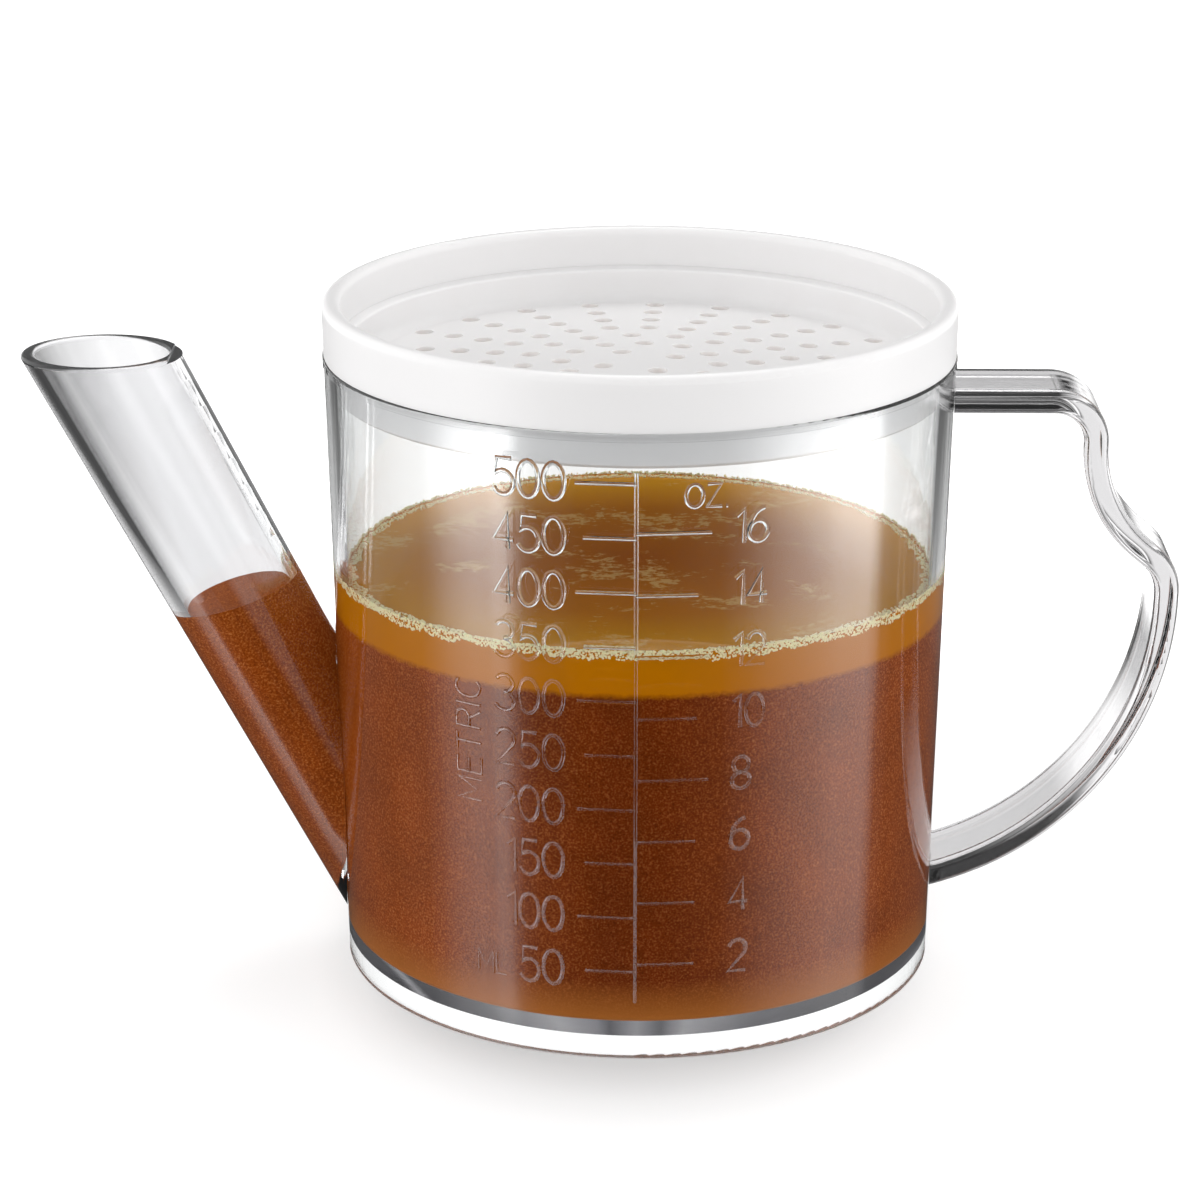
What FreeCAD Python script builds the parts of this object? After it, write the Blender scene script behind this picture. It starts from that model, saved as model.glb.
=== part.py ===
"""Gravy fat separator: a clear jug with a low straight spout, an ear handle and a white strainer lid.

Millimetres, +Z up. The origin is the centre of the foot ring, on the surface that the jug stands on.
The spout leans towards -X and the handle reaches towards +X.
"""

import FreeCAD, Part
import math
import os
import Sketcher

Vector = FreeCAD.Vector
CLOSE = 0.01  # how near an edge lies to the place it is looked for

doc = FreeCAD.newDocument("fat_separator")

# ---------------------------------------------------------------- driving dimensions

SIZES = {
    # jug: heights are from the table, the rim's radius is its outer face, the foot is narrower by its taper
    "jug_height": 94.9,
    "rim_radius": 47.0,
    "foot_taper": 2.0,
    "jug_wall": 2.0,
    "floor_height": 5.4,
    "floor_thickness": 2.2,
    "floor_fillet": 1.0,
    "foot_wall": 1.9,
    "foot_edge": 0.35,
    "bead_height": 1.2,
    "bead_proud": 0.15,
    "rim_edge": 0.45,
    "bond_line": 0.05,
    # spout: radii at the mouth, and where the tube's axis meets the jug's wall
    "spout_tilt": 27.3,
    "spout_root_height": 26.6,
    "spout_mouth_height": 94.0,
    "spout_mouth_radius": 10.7,
    "spout_root_radius": 9.7,
    "bore_mouth_radius": 8.9,
    "bore_root_radius": 7.6,
    "mouth_edge": 0.5,
    "mouth_step_width": 1.5,
    "mouth_step_depth": 0.5,
    # handle: a bar of rounded section; reaches are from the jug's wall to the bar's middle
    "bar_width": 13.6,
    "bar_thickness": 3.7,
    "bar_edge": 1.1,
    "bar_drop": 6.5,
    "neck_reach": 20.8,
    "neck_bend": 6.1,
    "neck_length": 1.0,
    "sweep_bend": 20.0,
    "thumb_slope": 50.0,
    "knuckle_bend": 7.0,
    "belly_reach": 32.3,
    "belly_straight": 0.6,
    "handle_foot_height": 12.6,
    "joint_overlap": 2.5,
    # strainer lid: a ring that sits on the rim, a plug skirt inside it, and a crowned plate
    "ring_height": 8.1,
    "ring_proud": 0.1,
    "ring_draft": 0.15,
    "ring_wall": 2.75,
    "ring_round": 1.2,
    "plug_clearance": 0.3,
    "plug_depth": 5.5,
    "plug_wall": 1.6,
    "plug_lead": 0.5,
    "ledge_rise": 2.0,
    "ledge_fall": 0.5,
    "ledge_round": 0.4,
    "plate_thickness": 1.5,
    "plate_recess": 0.45,
    "plate_crown": 1.7,
    "plate_fillet": 1.6,
    "hole_radius": 1.45,
    "hole_margin": 3.0,
    "first_ring_radius": 6.0,
    "lid_turn": -3.5,
}

# Holes in each ring of the strainer, from the middle outwards, and the angle of a ring's first hole.
RING_HOLES = (4, 12, 16, 24, 24, 24, 24)
RING_START = (30.0, 0.0, 7.5, 0.0, 0.0, 0.0, 0.0)

sheet = doc.addObject("Spreadsheet::Sheet", "sizes")
for row, (alias, size) in enumerate(SIZES.items(), start=1):
    sheet.set(f"A{row}", alias)
    sheet.set(f"B{row}", str(size))
    sheet.setAlias(f"B{row}", alias)
doc.recompute()


def size(expression):
    """The number that an expression over the sheet's aliases stands for now."""
    return float(sheet.evalExpression(expression))


def outer_radius(height):
    """Expression for the radius of the jug's outer face at a height."""
    return f"(sizes.rim_radius - sizes.foot_taper * (1 - ({height}) / sizes.jug_height))"


def inner_radius(height):
    """Expression for the radius of the jug's inner face at a height."""
    return f"({outer_radius(height)} - sizes.jug_wall)"


# ---------------------------------------------------------------- sketch helpers


def sketch_on(body, role, name):
    """A sketch on one of the body's own origin planes."""
    plane = next(item for item in body.Origin.OriginFeatures if item.Role == role)
    sketch = body.newObject("Sketcher::SketchObject", name)
    sketch.AttachmentSupport = [(plane, "")]
    sketch.MapMode = "FlatFace"
    return sketch


def drive(sketch, kind, where, expression):
    """A dimension of the sketch, bound to an expression."""
    number = sketch.addConstraint(Sketcher.Constraint(kind, *where, size(expression)))
    name = f"{kind.lower()}_{number}"
    sketch.renameConstraint(number, name)
    sketch.setExpression(f"Constraints.{name}", expression)


def place(sketch, edge, point, x, y):
    """Dimensions a point of an edge from the sketch's origin."""
    drive(sketch, "DistanceX", (-1, 1, edge, point), x)
    drive(sketch, "DistanceY", (-1, 1, edge, point), y)


def outline(sketch, corners):
    """A closed outline of straight lines through corners given as pairs of expressions."""
    points = [Vector(size(x), size(y), 0) for x, y in corners]
    count = len(points)
    for number in range(count):
        sketch.addGeometry(Part.LineSegment(points[number], points[(number + 1) % count]), False)
    for number in range(count):
        sketch.addConstraint(Sketcher.Constraint("Coincident", number, 2, (number + 1) % count, 1))
    for number, (x, y) in enumerate(corners):
        place(sketch, number, 1, x, y)


def circle(sketch, x, y, radius):
    """A circle with its centre and radius given as expressions."""
    centre = Vector(size(x), size(y), 0)
    number = sketch.addGeometry(Part.Circle(centre, Vector(0, 0, 1), size(radius)), False)
    place(sketch, number, 3, x, y)
    drive(sketch, "Radius", (number,), radius)


def arc(sketch, centre, radius, first_angle, last_angle):
    """An arc drawn anticlockwise between two angles in degrees."""
    whole = Part.Circle(centre, Vector(0, 0, 1), radius)
    return sketch.addGeometry(
        Part.ArcOfCircle(whole, math.radians(first_angle), math.radians(last_angle)), False
    )


def revolve(body, sketch, name):
    """The sketch turned all the way round its own vertical axis."""
    feature = body.newObject("PartDesign::Revolution", name)
    feature.Profile = sketch
    feature.ReferenceAxis = (sketch, ["V_Axis"])
    feature.Angle = 360
    doc.recompute()
    return feature


def round_edges(body, base, name, places):
    """Fillets, one feature for each size, on edges found by their radius and height.

    places holds an alias and the (radius, height) pairs of the circular edges that it works on.
    """
    for alias, circles in places:
        wanted = [(size(radius), size(height)) for radius, height in circles]
        edges = []
        for number, edge in enumerate(base.Shape.Edges, start=1):
            if not isinstance(edge.Curve, Part.Circle):
                continue
            radius, height = edge.Curve.Radius, edge.Curve.Center.z
            if any(math.hypot(radius - r, height - z) < CLOSE for r, z in wanted):
                edges.append(f"Edge{number}")
        feature = body.newObject("PartDesign::Fillet", f"{name}_{alias}")
        feature.Base = (base, edges)
        feature.setExpression("Radius", f"sizes.{alias}")
        doc.recompute()
        base = feature
    return base


# ---------------------------------------------------------------- jug

jug_top = "sizes.jug_height"
bead_foot = "(sizes.jug_height - sizes.bead_height)"
bead_radius = "(sizes.rim_radius + sizes.bead_proud)"
floor_under = "(sizes.floor_height - sizes.floor_thickness)"
base_radius = outer_radius("0")
foot_inside = f"({base_radius} - sizes.foot_wall)"

# One revolved moulding: tapered wall, floor raised inside a foot ring, and a low bead round the rim.
jug_shell = doc.addObject("PartDesign::Body", "jug_shell")
jug_sketch = sketch_on(jug_shell, "XZ_Plane", "jug_section")
outline(
    jug_sketch,
    [
        ("0", "sizes.floor_height"),
        (inner_radius("sizes.floor_height"), "sizes.floor_height"),
        (inner_radius(jug_top), jug_top),
        (bead_radius, jug_top),
        (bead_radius, bead_foot),
        (outer_radius(bead_foot), bead_foot),
        (base_radius, "0"),
        (foot_inside, "0"),
        (foot_inside, floor_under),
        ("0", floor_under),
    ],
)
jug_turned = revolve(jug_shell, jug_sketch, "jug_turned")
round_edges(
    jug_shell,
    jug_turned,
    "jug",
    [
        ("rim_edge", [(bead_radius, jug_top), (inner_radius(jug_top), jug_top)]),
        ("floor_fillet", [(inner_radius("sizes.floor_height"), "sizes.floor_height")]),
        ("foot_edge", [(base_radius, "0"), (foot_inside, "0")]),
    ],
)

# Everything inside the jug's outer face and the thin line of bond on it. It scribes the spout and the
# handle to the wall.
envelope = doc.addObject("Part::Cone", "wall_envelope")
envelope.setExpression("Radius1", f"{outer_radius('-sizes.jug_height')} + sizes.bond_line")
envelope.setExpression("Radius2", f"{outer_radius('2 * sizes.jug_height')} + sizes.bond_line")
envelope.setExpression("Height", "3 * sizes.jug_height")
envelope.setExpression("Placement.Base.z", "-sizes.jug_height")

# ---------------------------------------------------------------- spout

tube_length = "((sizes.spout_mouth_height - sizes.spout_root_height) / cos(sizes.spout_tilt))"
tube_tail = "(sizes.spout_root_radius / tan(sizes.spout_tilt) + 2 * sizes.jug_wall)"
tube_end = f"({tube_length} + sizes.spout_mouth_radius)"
spout_root_x = f"(-1 * {outer_radius('sizes.spout_root_height')})"


def tube_radius(which, along):
    """Expression for the radius of the spout or its bore at a distance along the axis from the root."""
    root, mouth = f"sizes.{which}_root_radius", f"sizes.{which}_mouth_radius"
    return f"({root} + ({mouth} - {root}) * ({along}) / {tube_length})"


def lean(item):
    """Sets an object down on the spout's root, with its own +Z along the tube."""
    item.Placement = FreeCAD.Placement(Vector(), FreeCAD.Rotation(Vector(0, 1, 0), -1))
    item.setExpression("Placement.Rotation.Angle", "-sizes.spout_tilt")
    item.setExpression("Placement.Base.x", spout_root_x)
    item.setExpression("Placement.Base.z", "sizes.spout_root_height")


spout_tube = doc.addObject("PartDesign::Body", "spout_tube")
tube_sketch = sketch_on(spout_tube, "XZ_Plane", "tube_section")
outline(
    tube_sketch,
    [
        (tube_radius("bore", f"-{tube_tail}"), f"-{tube_tail}"),
        (tube_radius("spout", f"-{tube_tail}"), f"-{tube_tail}"),
        (tube_radius("spout", tube_end), tube_end),
        (tube_radius("bore", tube_end), tube_end),
    ],
)
revolve(spout_tube, tube_sketch, "tube_turned")
lean(spout_tube)

# The mouth is cut level, a little below the jug's rim.
above_mouth = doc.addObject("Part::Box", "above_mouth")
reach = "(2 * sizes.spout_mouth_height)"
above_mouth.setExpression("Length", f"2 * {reach}")
above_mouth.setExpression("Width", f"2 * {reach}")
above_mouth.setExpression("Height", reach)
above_mouth.setExpression("Placement.Base.x", f"-{reach}")
above_mouth.setExpression("Placement.Base.y", f"-{reach}")
above_mouth.setExpression("Placement.Base.z", "sizes.spout_mouth_height")

tube_scribed = doc.addObject("Part::Cut", "tube_scribed")
tube_scribed.Base = spout_tube
tube_scribed.Tool = envelope
tube_cut = doc.addObject("Part::Cut", "tube_cut")
tube_cut.Base = tube_scribed
tube_cut.Tool = above_mouth
doc.recompute()

mouth_edges = [
    number
    for number, edge in enumerate(tube_cut.Shape.Edges, start=1)
    if edge.BoundBox.ZMin > size("sizes.spout_mouth_height") - CLOSE
]
tube_rounded = doc.addObject("Part::Fillet", "tube_rounded")
tube_rounded.Base = tube_cut
tube_rounded.Edges = [(number, size("sizes.mouth_edge"), size("sizes.mouth_edge")) for number in mouth_edges]

# A small witness step stays where the mould closes, at the side of the mouth that faces the jug.
mouth_middle_x = f"({spout_root_x} - {tube_length} * sin(sizes.spout_tilt))"
mouth_near_x = f"({mouth_middle_x} + sizes.spout_mouth_radius / cos(sizes.spout_tilt))"
mouth_step = doc.addObject("Part::Box", "mouth_step")
mouth_step.setExpression("Length", "2 * sizes.spout_mouth_radius")
mouth_step.setExpression("Width", "2 * sizes.spout_mouth_radius")
mouth_step.setExpression("Height", "2 * sizes.mouth_step_depth")
mouth_step.setExpression("Placement.Base.x", f"{mouth_near_x} - sizes.mouth_step_width")
mouth_step.setExpression("Placement.Base.y", "-sizes.spout_mouth_radius")
mouth_step.setExpression("Placement.Base.z", "sizes.spout_mouth_height - sizes.mouth_step_depth")

spout = doc.addObject("Part::Cut", "spout")
spout.Base = tube_rounded
spout.Tool = mouth_step

# The port in the jug's wall carries the spout's bore on, and stays above the floor.
bore_core = doc.addObject("Part::Cone", "bore_core")
core_length = f"({tube_tail} + 3 * sizes.jug_wall + sizes.spout_root_radius)"
bore_core.setExpression("Radius1", tube_radius("bore", f"-{tube_tail}"))
bore_core.setExpression("Radius2", tube_radius("bore", f"{core_length} - {tube_tail}"))
bore_core.setExpression("Height", core_length)
lean(bore_core)
bore_core.setExpression("Placement.Base.x", f"{spout_root_x} + {tube_tail} * sin(sizes.spout_tilt)")
bore_core.setExpression("Placement.Base.z", f"sizes.spout_root_height - {tube_tail} * cos(sizes.spout_tilt)")
above_floor = doc.addObject("Part::Cylinder", "above_floor")
above_floor.setExpression("Radius", "2 * sizes.rim_radius")
above_floor.setExpression("Height", "sizes.jug_height")
above_floor.setExpression("Placement.Base.z", "sizes.floor_height")
port_core = doc.addObject("Part::MultiCommon", "port_core")
port_core.Shapes = [bore_core, above_floor]

jug_body = doc.addObject("Part::Cut", "jug_body")
jug_body.Base = jug_shell
jug_body.Tool = port_core
doc.recompute()

# ---------------------------------------------------------------- handle

bar_height = "(sizes.jug_height - sizes.bar_drop)"
bar_start_x = f"({outer_radius(bar_height)} - sizes.joint_overlap)"
neck_x = f"({outer_radius(bar_height)} + sizes.neck_reach)"
neck_foot_height = f"({bar_height} - sizes.neck_bend - sizes.neck_length)"
belly_x = f"({outer_radius(bar_height)} + sizes.belly_reach)"
foot_x = f"({outer_radius('sizes.handle_foot_height')} - sizes.joint_overlap)"

handle_bar = doc.addObject("PartDesign::Body", "handle_bar")
route = sketch_on(handle_bar, "XZ_Plane", "handle_route")

# The route's middle line: level bar, corner, short neck, outward sweep, thumb slope, knuckle, belly.
slope = size("sizes.thumb_slope")
bend = size("sizes.neck_bend")
sweep = size("sizes.sweep_bend")
knuckle = size("sizes.knuckle_bend")
corner = Vector(size(neck_x) - bend, size(bar_height) - bend, 0)
sweep_centre = Vector(size(neck_x) + sweep, size(neck_foot_height), 0)
lean_down = Vector(math.sin(math.radians(slope)), -math.cos(math.radians(slope)), 0)
lean_left = Vector(-lean_down.y, lean_down.x, 0)
sweep_end = sweep_centre - lean_left * sweep
run_out = size(belly_x) - knuckle * (1 - math.cos(math.radians(slope))) - sweep_end.x
slope_end = sweep_end + lean_down * (run_out / lean_down.x)
knuckle_centre = slope_end - lean_left * knuckle
belly_top = Vector(size(belly_x), knuckle_centre.y - size("sizes.belly_straight"), 0)
foot = Vector(size(foot_x), size("sizes.handle_foot_height"), 0)
belly_bend = (foot - belly_top).Length ** 2 / (2 * (belly_top.x - foot.x))
belly_centre = belly_top - Vector(belly_bend, 0, 0)
foot_angle = math.degrees(math.atan2(foot.y - belly_centre.y, foot.x - belly_centre.x))

level = route.addGeometry(
    Part.LineSegment(Vector(size(bar_start_x), size(bar_height), 0), corner + Vector(0, bend, 0)), False
)
corner_arc = arc(route, corner, bend, 0, 90)
neck = route.addGeometry(
    Part.LineSegment(corner + Vector(bend, 0, 0), sweep_centre - Vector(sweep, 0, 0)), False
)
sweep_arc = arc(route, sweep_centre, sweep, 180, 180 + slope)
thumb = route.addGeometry(Part.LineSegment(sweep_end, slope_end), False)
knuckle_arc = arc(route, knuckle_centre, knuckle, 0, slope)
straight = route.addGeometry(
    Part.LineSegment(knuckle_centre + Vector(knuckle, 0, 0), belly_top), False
)
belly_arc = arc(route, belly_centre, belly_bend, foot_angle, 0)

# Each stretch runs smoothly into the next: (edge, its end point), (next edge, its start point).
for first, first_point, second, second_point in (
    (level, 2, corner_arc, 2),
    (corner_arc, 1, neck, 1),
    (neck, 2, sweep_arc, 1),
    (sweep_arc, 2, thumb, 1),
    (thumb, 2, knuckle_arc, 2),
    (knuckle_arc, 1, straight, 1),
    (straight, 2, belly_arc, 2),
):
    route.addConstraint(Sketcher.Constraint("Tangent", first, first_point, second, second_point))
place(route, level, 1, bar_start_x, bar_height)
route.addConstraint(Sketcher.Constraint("Horizontal", level))
drive(route, "Radius", (corner_arc,), "sizes.neck_bend")
route.addConstraint(Sketcher.Constraint("Vertical", neck))
place(route, neck, 2, neck_x, neck_foot_height)
drive(route, "Radius", (sweep_arc,), "sizes.sweep_bend")
drive(route, "Radius", (knuckle_arc,), "sizes.knuckle_bend")
drive(route, "DistanceX", (sweep_arc, 3, sweep_arc, 2), "-1 * sizes.sweep_bend * cos(sizes.thumb_slope)")
route.addConstraint(Sketcher.Constraint("Vertical", straight))
drive(route, "DistanceX", (-1, 1, straight, 2), belly_x)
drive(route, "DistanceY", (straight, 2, straight, 1), "sizes.belly_straight")
place(route, belly_arc, 1, foot_x, "sizes.handle_foot_height")

# The bar's section: a flat rectangle with well rounded edges, at the start of the route.
section = sketch_on(handle_bar, "YZ_Plane", "handle_section")
section.setExpression("AttachmentOffset.Base.z", bar_start_x)
half_width = "(sizes.bar_width / 2 - sizes.bar_edge)"
half_height = "(sizes.bar_thickness / 2 - sizes.bar_edge)"
edge_radius = size("sizes.bar_edge")
# The four corner arcs, anticlockwise from the upper right one, and the way out of the flat after each.
corner_signs = ((1, 1), (-1, 1), (-1, -1), (1, -1))
outward_ways = (Vector(0, 1, 0), Vector(-1, 0, 0), Vector(0, -1, 0), Vector(1, 0, 0))
centres = [
    Vector(side * size(half_width), size(bar_height) + rise * size(half_height), 0)
    for side, rise in corner_signs
]
corner_arcs = [
    arc(section, centre, edge_radius, 90 * number, 90 * (number + 1))
    for number, centre in enumerate(centres)
]
flats = []
for number, centre in enumerate(centres):
    outward = outward_ways[number] * edge_radius
    following = centres[(number + 1) % 4]
    flats.append(section.addGeometry(Part.LineSegment(centre + outward, following + outward), False))
for number, (side, rise) in enumerate(corner_signs):
    following = corner_arcs[(number + 1) % 4]
    section.addConstraint(Sketcher.Constraint("Tangent", corner_arcs[number], 2, flats[number], 1))
    section.addConstraint(Sketcher.Constraint("Tangent", flats[number], 2, following, 1))
    place(
        section,
        corner_arcs[number],
        3,
        f"{side} * {half_width}",
        f"{bar_height} + {rise} * {half_height}",
    )
drive(section, "Radius", (corner_arcs[0],), "sizes.bar_edge")
doc.recompute()

bar = handle_bar.newObject("PartDesign::AdditivePipe", "bar")
bar.Profile = section
bar.Spine = (route, [f"Edge{number}" for number in range(1, len(route.Shape.Edges) + 1)])
doc.recompute()

handle = doc.addObject("Part::Cut", "handle")
handle.Base = handle_bar
handle.Tool = envelope
doc.recompute()

# ---------------------------------------------------------------- strainer lid

ring_top = "(sizes.jug_height + sizes.ring_height)"
ring_radius = "(sizes.rim_radius + sizes.ring_proud)"
ring_inside = f"({ring_radius} - sizes.ring_wall)"
plug_foot = "(sizes.jug_height - sizes.plug_depth)"
plug_top_radius = f"({inner_radius(jug_top)} - sizes.plug_clearance)"
plug_foot_radius = f"({inner_radius(plug_foot)} - sizes.plug_clearance)"
funnel_radius = f"({plug_foot_radius} - sizes.plug_wall)"
ledge_height = "(sizes.jug_height + sizes.ledge_rise)"
plate_under = f"({plug_foot} + sizes.plate_recess)"
plate_edge = f"({plate_under} + sizes.plate_thickness)"

strainer_lid = doc.addObject("PartDesign::Body", "strainer_lid")
lid_sketch = sketch_on(strainer_lid, "XZ_Plane", "lid_section")
outline(
    lid_sketch,
    [
        ("0", f"{plate_under} + sizes.plate_crown"),
        (funnel_radius, plate_under),
        (funnel_radius, plug_foot),
        (f"{plug_foot_radius} - sizes.plug_lead", plug_foot),
        (plug_foot_radius, f"{plug_foot} + sizes.plug_lead"),
        (plug_top_radius, jug_top),
        (f"{ring_radius} - sizes.ring_draft", jug_top),
        (ring_radius, ring_top),
        (ring_inside, ring_top),
        (ring_inside, ledge_height),
        (funnel_radius, f"{ledge_height} - sizes.ledge_fall"),
        (funnel_radius, plate_edge),
        ("0", f"{plate_edge} + sizes.plate_crown"),
    ],
)
lid_turned = revolve(strainer_lid, lid_sketch, "lid_turned")
lid_solid = round_edges(
    strainer_lid,
    lid_turned,
    "lid",
    [
        ("ring_round", [(ring_radius, ring_top), (ring_inside, ring_top)]),
        ("ledge_round", [(funnel_radius, f"{ledge_height} - sizes.ledge_fall")]),
        ("plate_fillet", [(funnel_radius, plate_edge)]),
    ],
)

# The strainer: rings of round holes, evenly spaced from the first ring to the plate's edge.
last_ring_radius = f"({funnel_radius} - sizes.hole_margin)"
ring_pitch = f"(({last_ring_radius} - sizes.first_ring_radius) / {len(RING_HOLES) - 1})"
z_axis = next(item for item in strainer_lid.Origin.OriginFeatures if item.Role == "Z_Axis")
for ring, (holes, start) in enumerate(zip(RING_HOLES, RING_START)):
    radius = f"(sizes.first_ring_radius + {ring} * {ring_pitch})"
    sketch = sketch_on(strainer_lid, "XY_Plane", f"hole_{ring + 1}")
    circle(sketch, f"{radius} * cos({start})", f"{radius} * sin({start})", "sizes.hole_radius")
    whole = lid_solid.Shape.Volume
    pocket = strainer_lid.newObject("PartDesign::Pocket", f"pocket_{ring + 1}")
    pocket.Profile = sketch
    pocket.Type = "ThroughAll"
    pocket.Reversed = True
    doc.recompute()
    if pocket.Shape.Volume >= whole:
        raise RuntimeError(f"pocket {ring + 1} of the strainer cuts nothing")
    pattern = strainer_lid.newObject("PartDesign::PolarPattern", f"ring_{ring + 1}")
    pattern.Originals = [pocket]
    pattern.Axis = (z_axis, [""])
    pattern.Angle = 360
    pattern.Occurrences = holes
    strainer_lid.Tip = pattern
    doc.recompute()
    lid_solid = pattern
strainer_lid.Placement = FreeCAD.Placement(Vector(), FreeCAD.Rotation(Vector(0, 0, 1), -1))
strainer_lid.setExpression("Placement.Rotation.Angle", "sizes.lid_turn")
doc.recompute()

# ---------------------------------------------------------------- checks and export

NODES = (jug_body, spout, handle, strainer_lid)
for item in doc.Objects:
    if "Invalid" in item.State or "Error" in item.State:
        raise RuntimeError(f"{item.Name} failed: {item.State}")
os.makedirs("parts", exist_ok=True)
for node in NODES:
    if node.Shape.isNull() or not node.Shape.isValid():
        raise RuntimeError(f"{node.Label} has no valid shape")
    box = node.Shape.optimalBoundingBox()
    print(f"{node.Label}: {len(node.Shape.Solids)} solid, {node.Shape.Volume:.0f} mm3")
    print(f"  x {box.XMin:.1f} to {box.XMax:.1f}, y {box.YMin:.1f} to {box.YMax:.1f}", end="")
    print(f", z {box.ZMin:.1f} to {box.ZMax:.1f}")
    node.Shape.exportStep(f"parts/{node.Label}.step")
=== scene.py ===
# %% [markdown]
# # A clear gravy jug that keeps the fat back
#
# The jug, its spout, its handle and its strainer lid come from the CAD model as a fixed frame, so this
# lesson never moves or reshapes them. It gives them the plastics that they are moulded in, raises the
# measuring scale on the wall, fills the jug as for serving, and lights it as for a catalogue. The
# first cell loads the frame and keeps its box, because everything later is sized by it.

# %% Load the frame
import math

import bmesh
import bpy
from mathutils import Matrix, Vector


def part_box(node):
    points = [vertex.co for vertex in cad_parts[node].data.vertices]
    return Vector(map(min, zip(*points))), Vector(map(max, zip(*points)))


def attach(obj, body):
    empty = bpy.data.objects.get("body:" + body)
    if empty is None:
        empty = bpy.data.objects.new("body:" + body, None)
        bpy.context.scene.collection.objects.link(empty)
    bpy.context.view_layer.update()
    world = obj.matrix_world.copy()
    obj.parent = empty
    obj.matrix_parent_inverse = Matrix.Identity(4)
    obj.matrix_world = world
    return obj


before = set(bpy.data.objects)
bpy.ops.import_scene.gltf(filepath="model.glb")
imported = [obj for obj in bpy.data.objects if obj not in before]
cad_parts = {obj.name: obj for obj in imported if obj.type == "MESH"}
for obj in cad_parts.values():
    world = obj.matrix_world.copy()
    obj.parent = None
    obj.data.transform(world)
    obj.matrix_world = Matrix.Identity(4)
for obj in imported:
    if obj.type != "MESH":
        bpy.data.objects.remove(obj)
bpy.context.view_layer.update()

MM = 0.001

# %% [markdown]
# ## The wall that everything is measured from
#
# The jug is a plain cone: its foot is a little narrower than its rim. The frame gives the height and
# the rim, and four moulding dimensions give the rest. Every later piece asks `wall_radius` where the
# outside of the wall is, so that the scale lies on it and the gravy fills it.

# %% Measure the jug
WALL = 2.0 * MM
RIM_BEAD = 0.15 * MM
FOOT_TAPER = 2.0 * MM
FLOOR_TOP = 5.4 * MM

jug_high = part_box("jug_body")[1]
rim_radius = jug_high.y - RIM_BEAD
jug_height = jug_high.z
flare = FOOT_TAPER / jug_height


def wall_radius(height):
    """Radius of the outer face of the jug's wall at a height."""
    return rim_radius - FOOT_TAPER + flare * height


print("rim and foot radius, mm:", round(rim_radius / MM, 2), round(wall_radius(0) / MM, 2))

# %% [markdown]
# ## Helpers for materials and node trees
#
# Colours are easiest to judge as the hex values of a paint program, but shaders work in linear light,
# so one function converts them. Another adds a node, sets it and links it in one call, and serves
# shader trees and geometry trees alike.

# %% Helpers for colours and nodes


def linear(code, alpha=1.0):
    """An sRGB hex colour as the linear colour that a shader needs."""
    channels = [int(code[i : i + 2], 16) / 255 for i in (0, 2, 4)]
    return (*[c / 12.92 if c <= 0.04045 else ((c + 0.055) / 1.055) ** 2.4 for c in channels], alpha)


def add_node(tree, kind, inputs=None, **settings):
    """Adds a node to a tree.

    An input is given a value, the output that it follows, or the node whose first output it follows.
    """
    node = tree.nodes.new(kind)
    for name, value in settings.items():
        setattr(node, name, value)
    for name, value in (inputs or {}).items():
        if isinstance(value, bpy.types.Node):
            value = value.outputs[0]
        if isinstance(value, bpy.types.NodeSocket):
            tree.links.new(value, node.inputs[name])
        else:
            node.inputs[name].default_value = value
    return node


print("white in linear light:", linear("FFFFFF"))

# %% Helpers for a new material and a ramp


def new_material(name):
    """An empty node material and its tree."""
    material = bpy.data.materials.new(name)
    material.use_nodes = True
    material.node_tree.nodes.clear()
    return material, material.node_tree


def ramp_stops(node, stops):
    """Fills a Color Ramp with (position, colour) stops, given in order."""
    elements = node.color_ramp.elements
    while len(elements) > 1:
        elements.remove(elements[-1])
    elements[0].position, elements[0].color = stops[0]
    for position, colour in stops[1:]:
        elements.new(position).color = colour


print("materials so far:", len(bpy.data.materials))

# %% [markdown]
# ## Clear plastic
#
# The jug, spout and handle are SAN (styrene acrylonitrile), which is as clear as glass but bends light
# a little more. It is faintly grey, and a thick bar shows that more than a thin wall does, so each
# part gets a tone of its own. Real walls aren't quite flat either: the melt flows along the mould and
# leaves long shallow waves, which make the dark edges look streaky. A noise that is drawn out along
# the part and a weak bump do that. Light that falls through the plastic would cost many samples to
# trace as caustics, so a shadow ray sees plain, slightly grey, transparent plastic instead.

# %% Material: clear SAN
SAN_IOR = 1.57
WAVE_WIDTH, WAVE_LENGTH, WAVE_DEPTH = 2.5 * MM, 31 * MM, 0.1 * MM
WAVE_STRENGTH = 0.12


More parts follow.
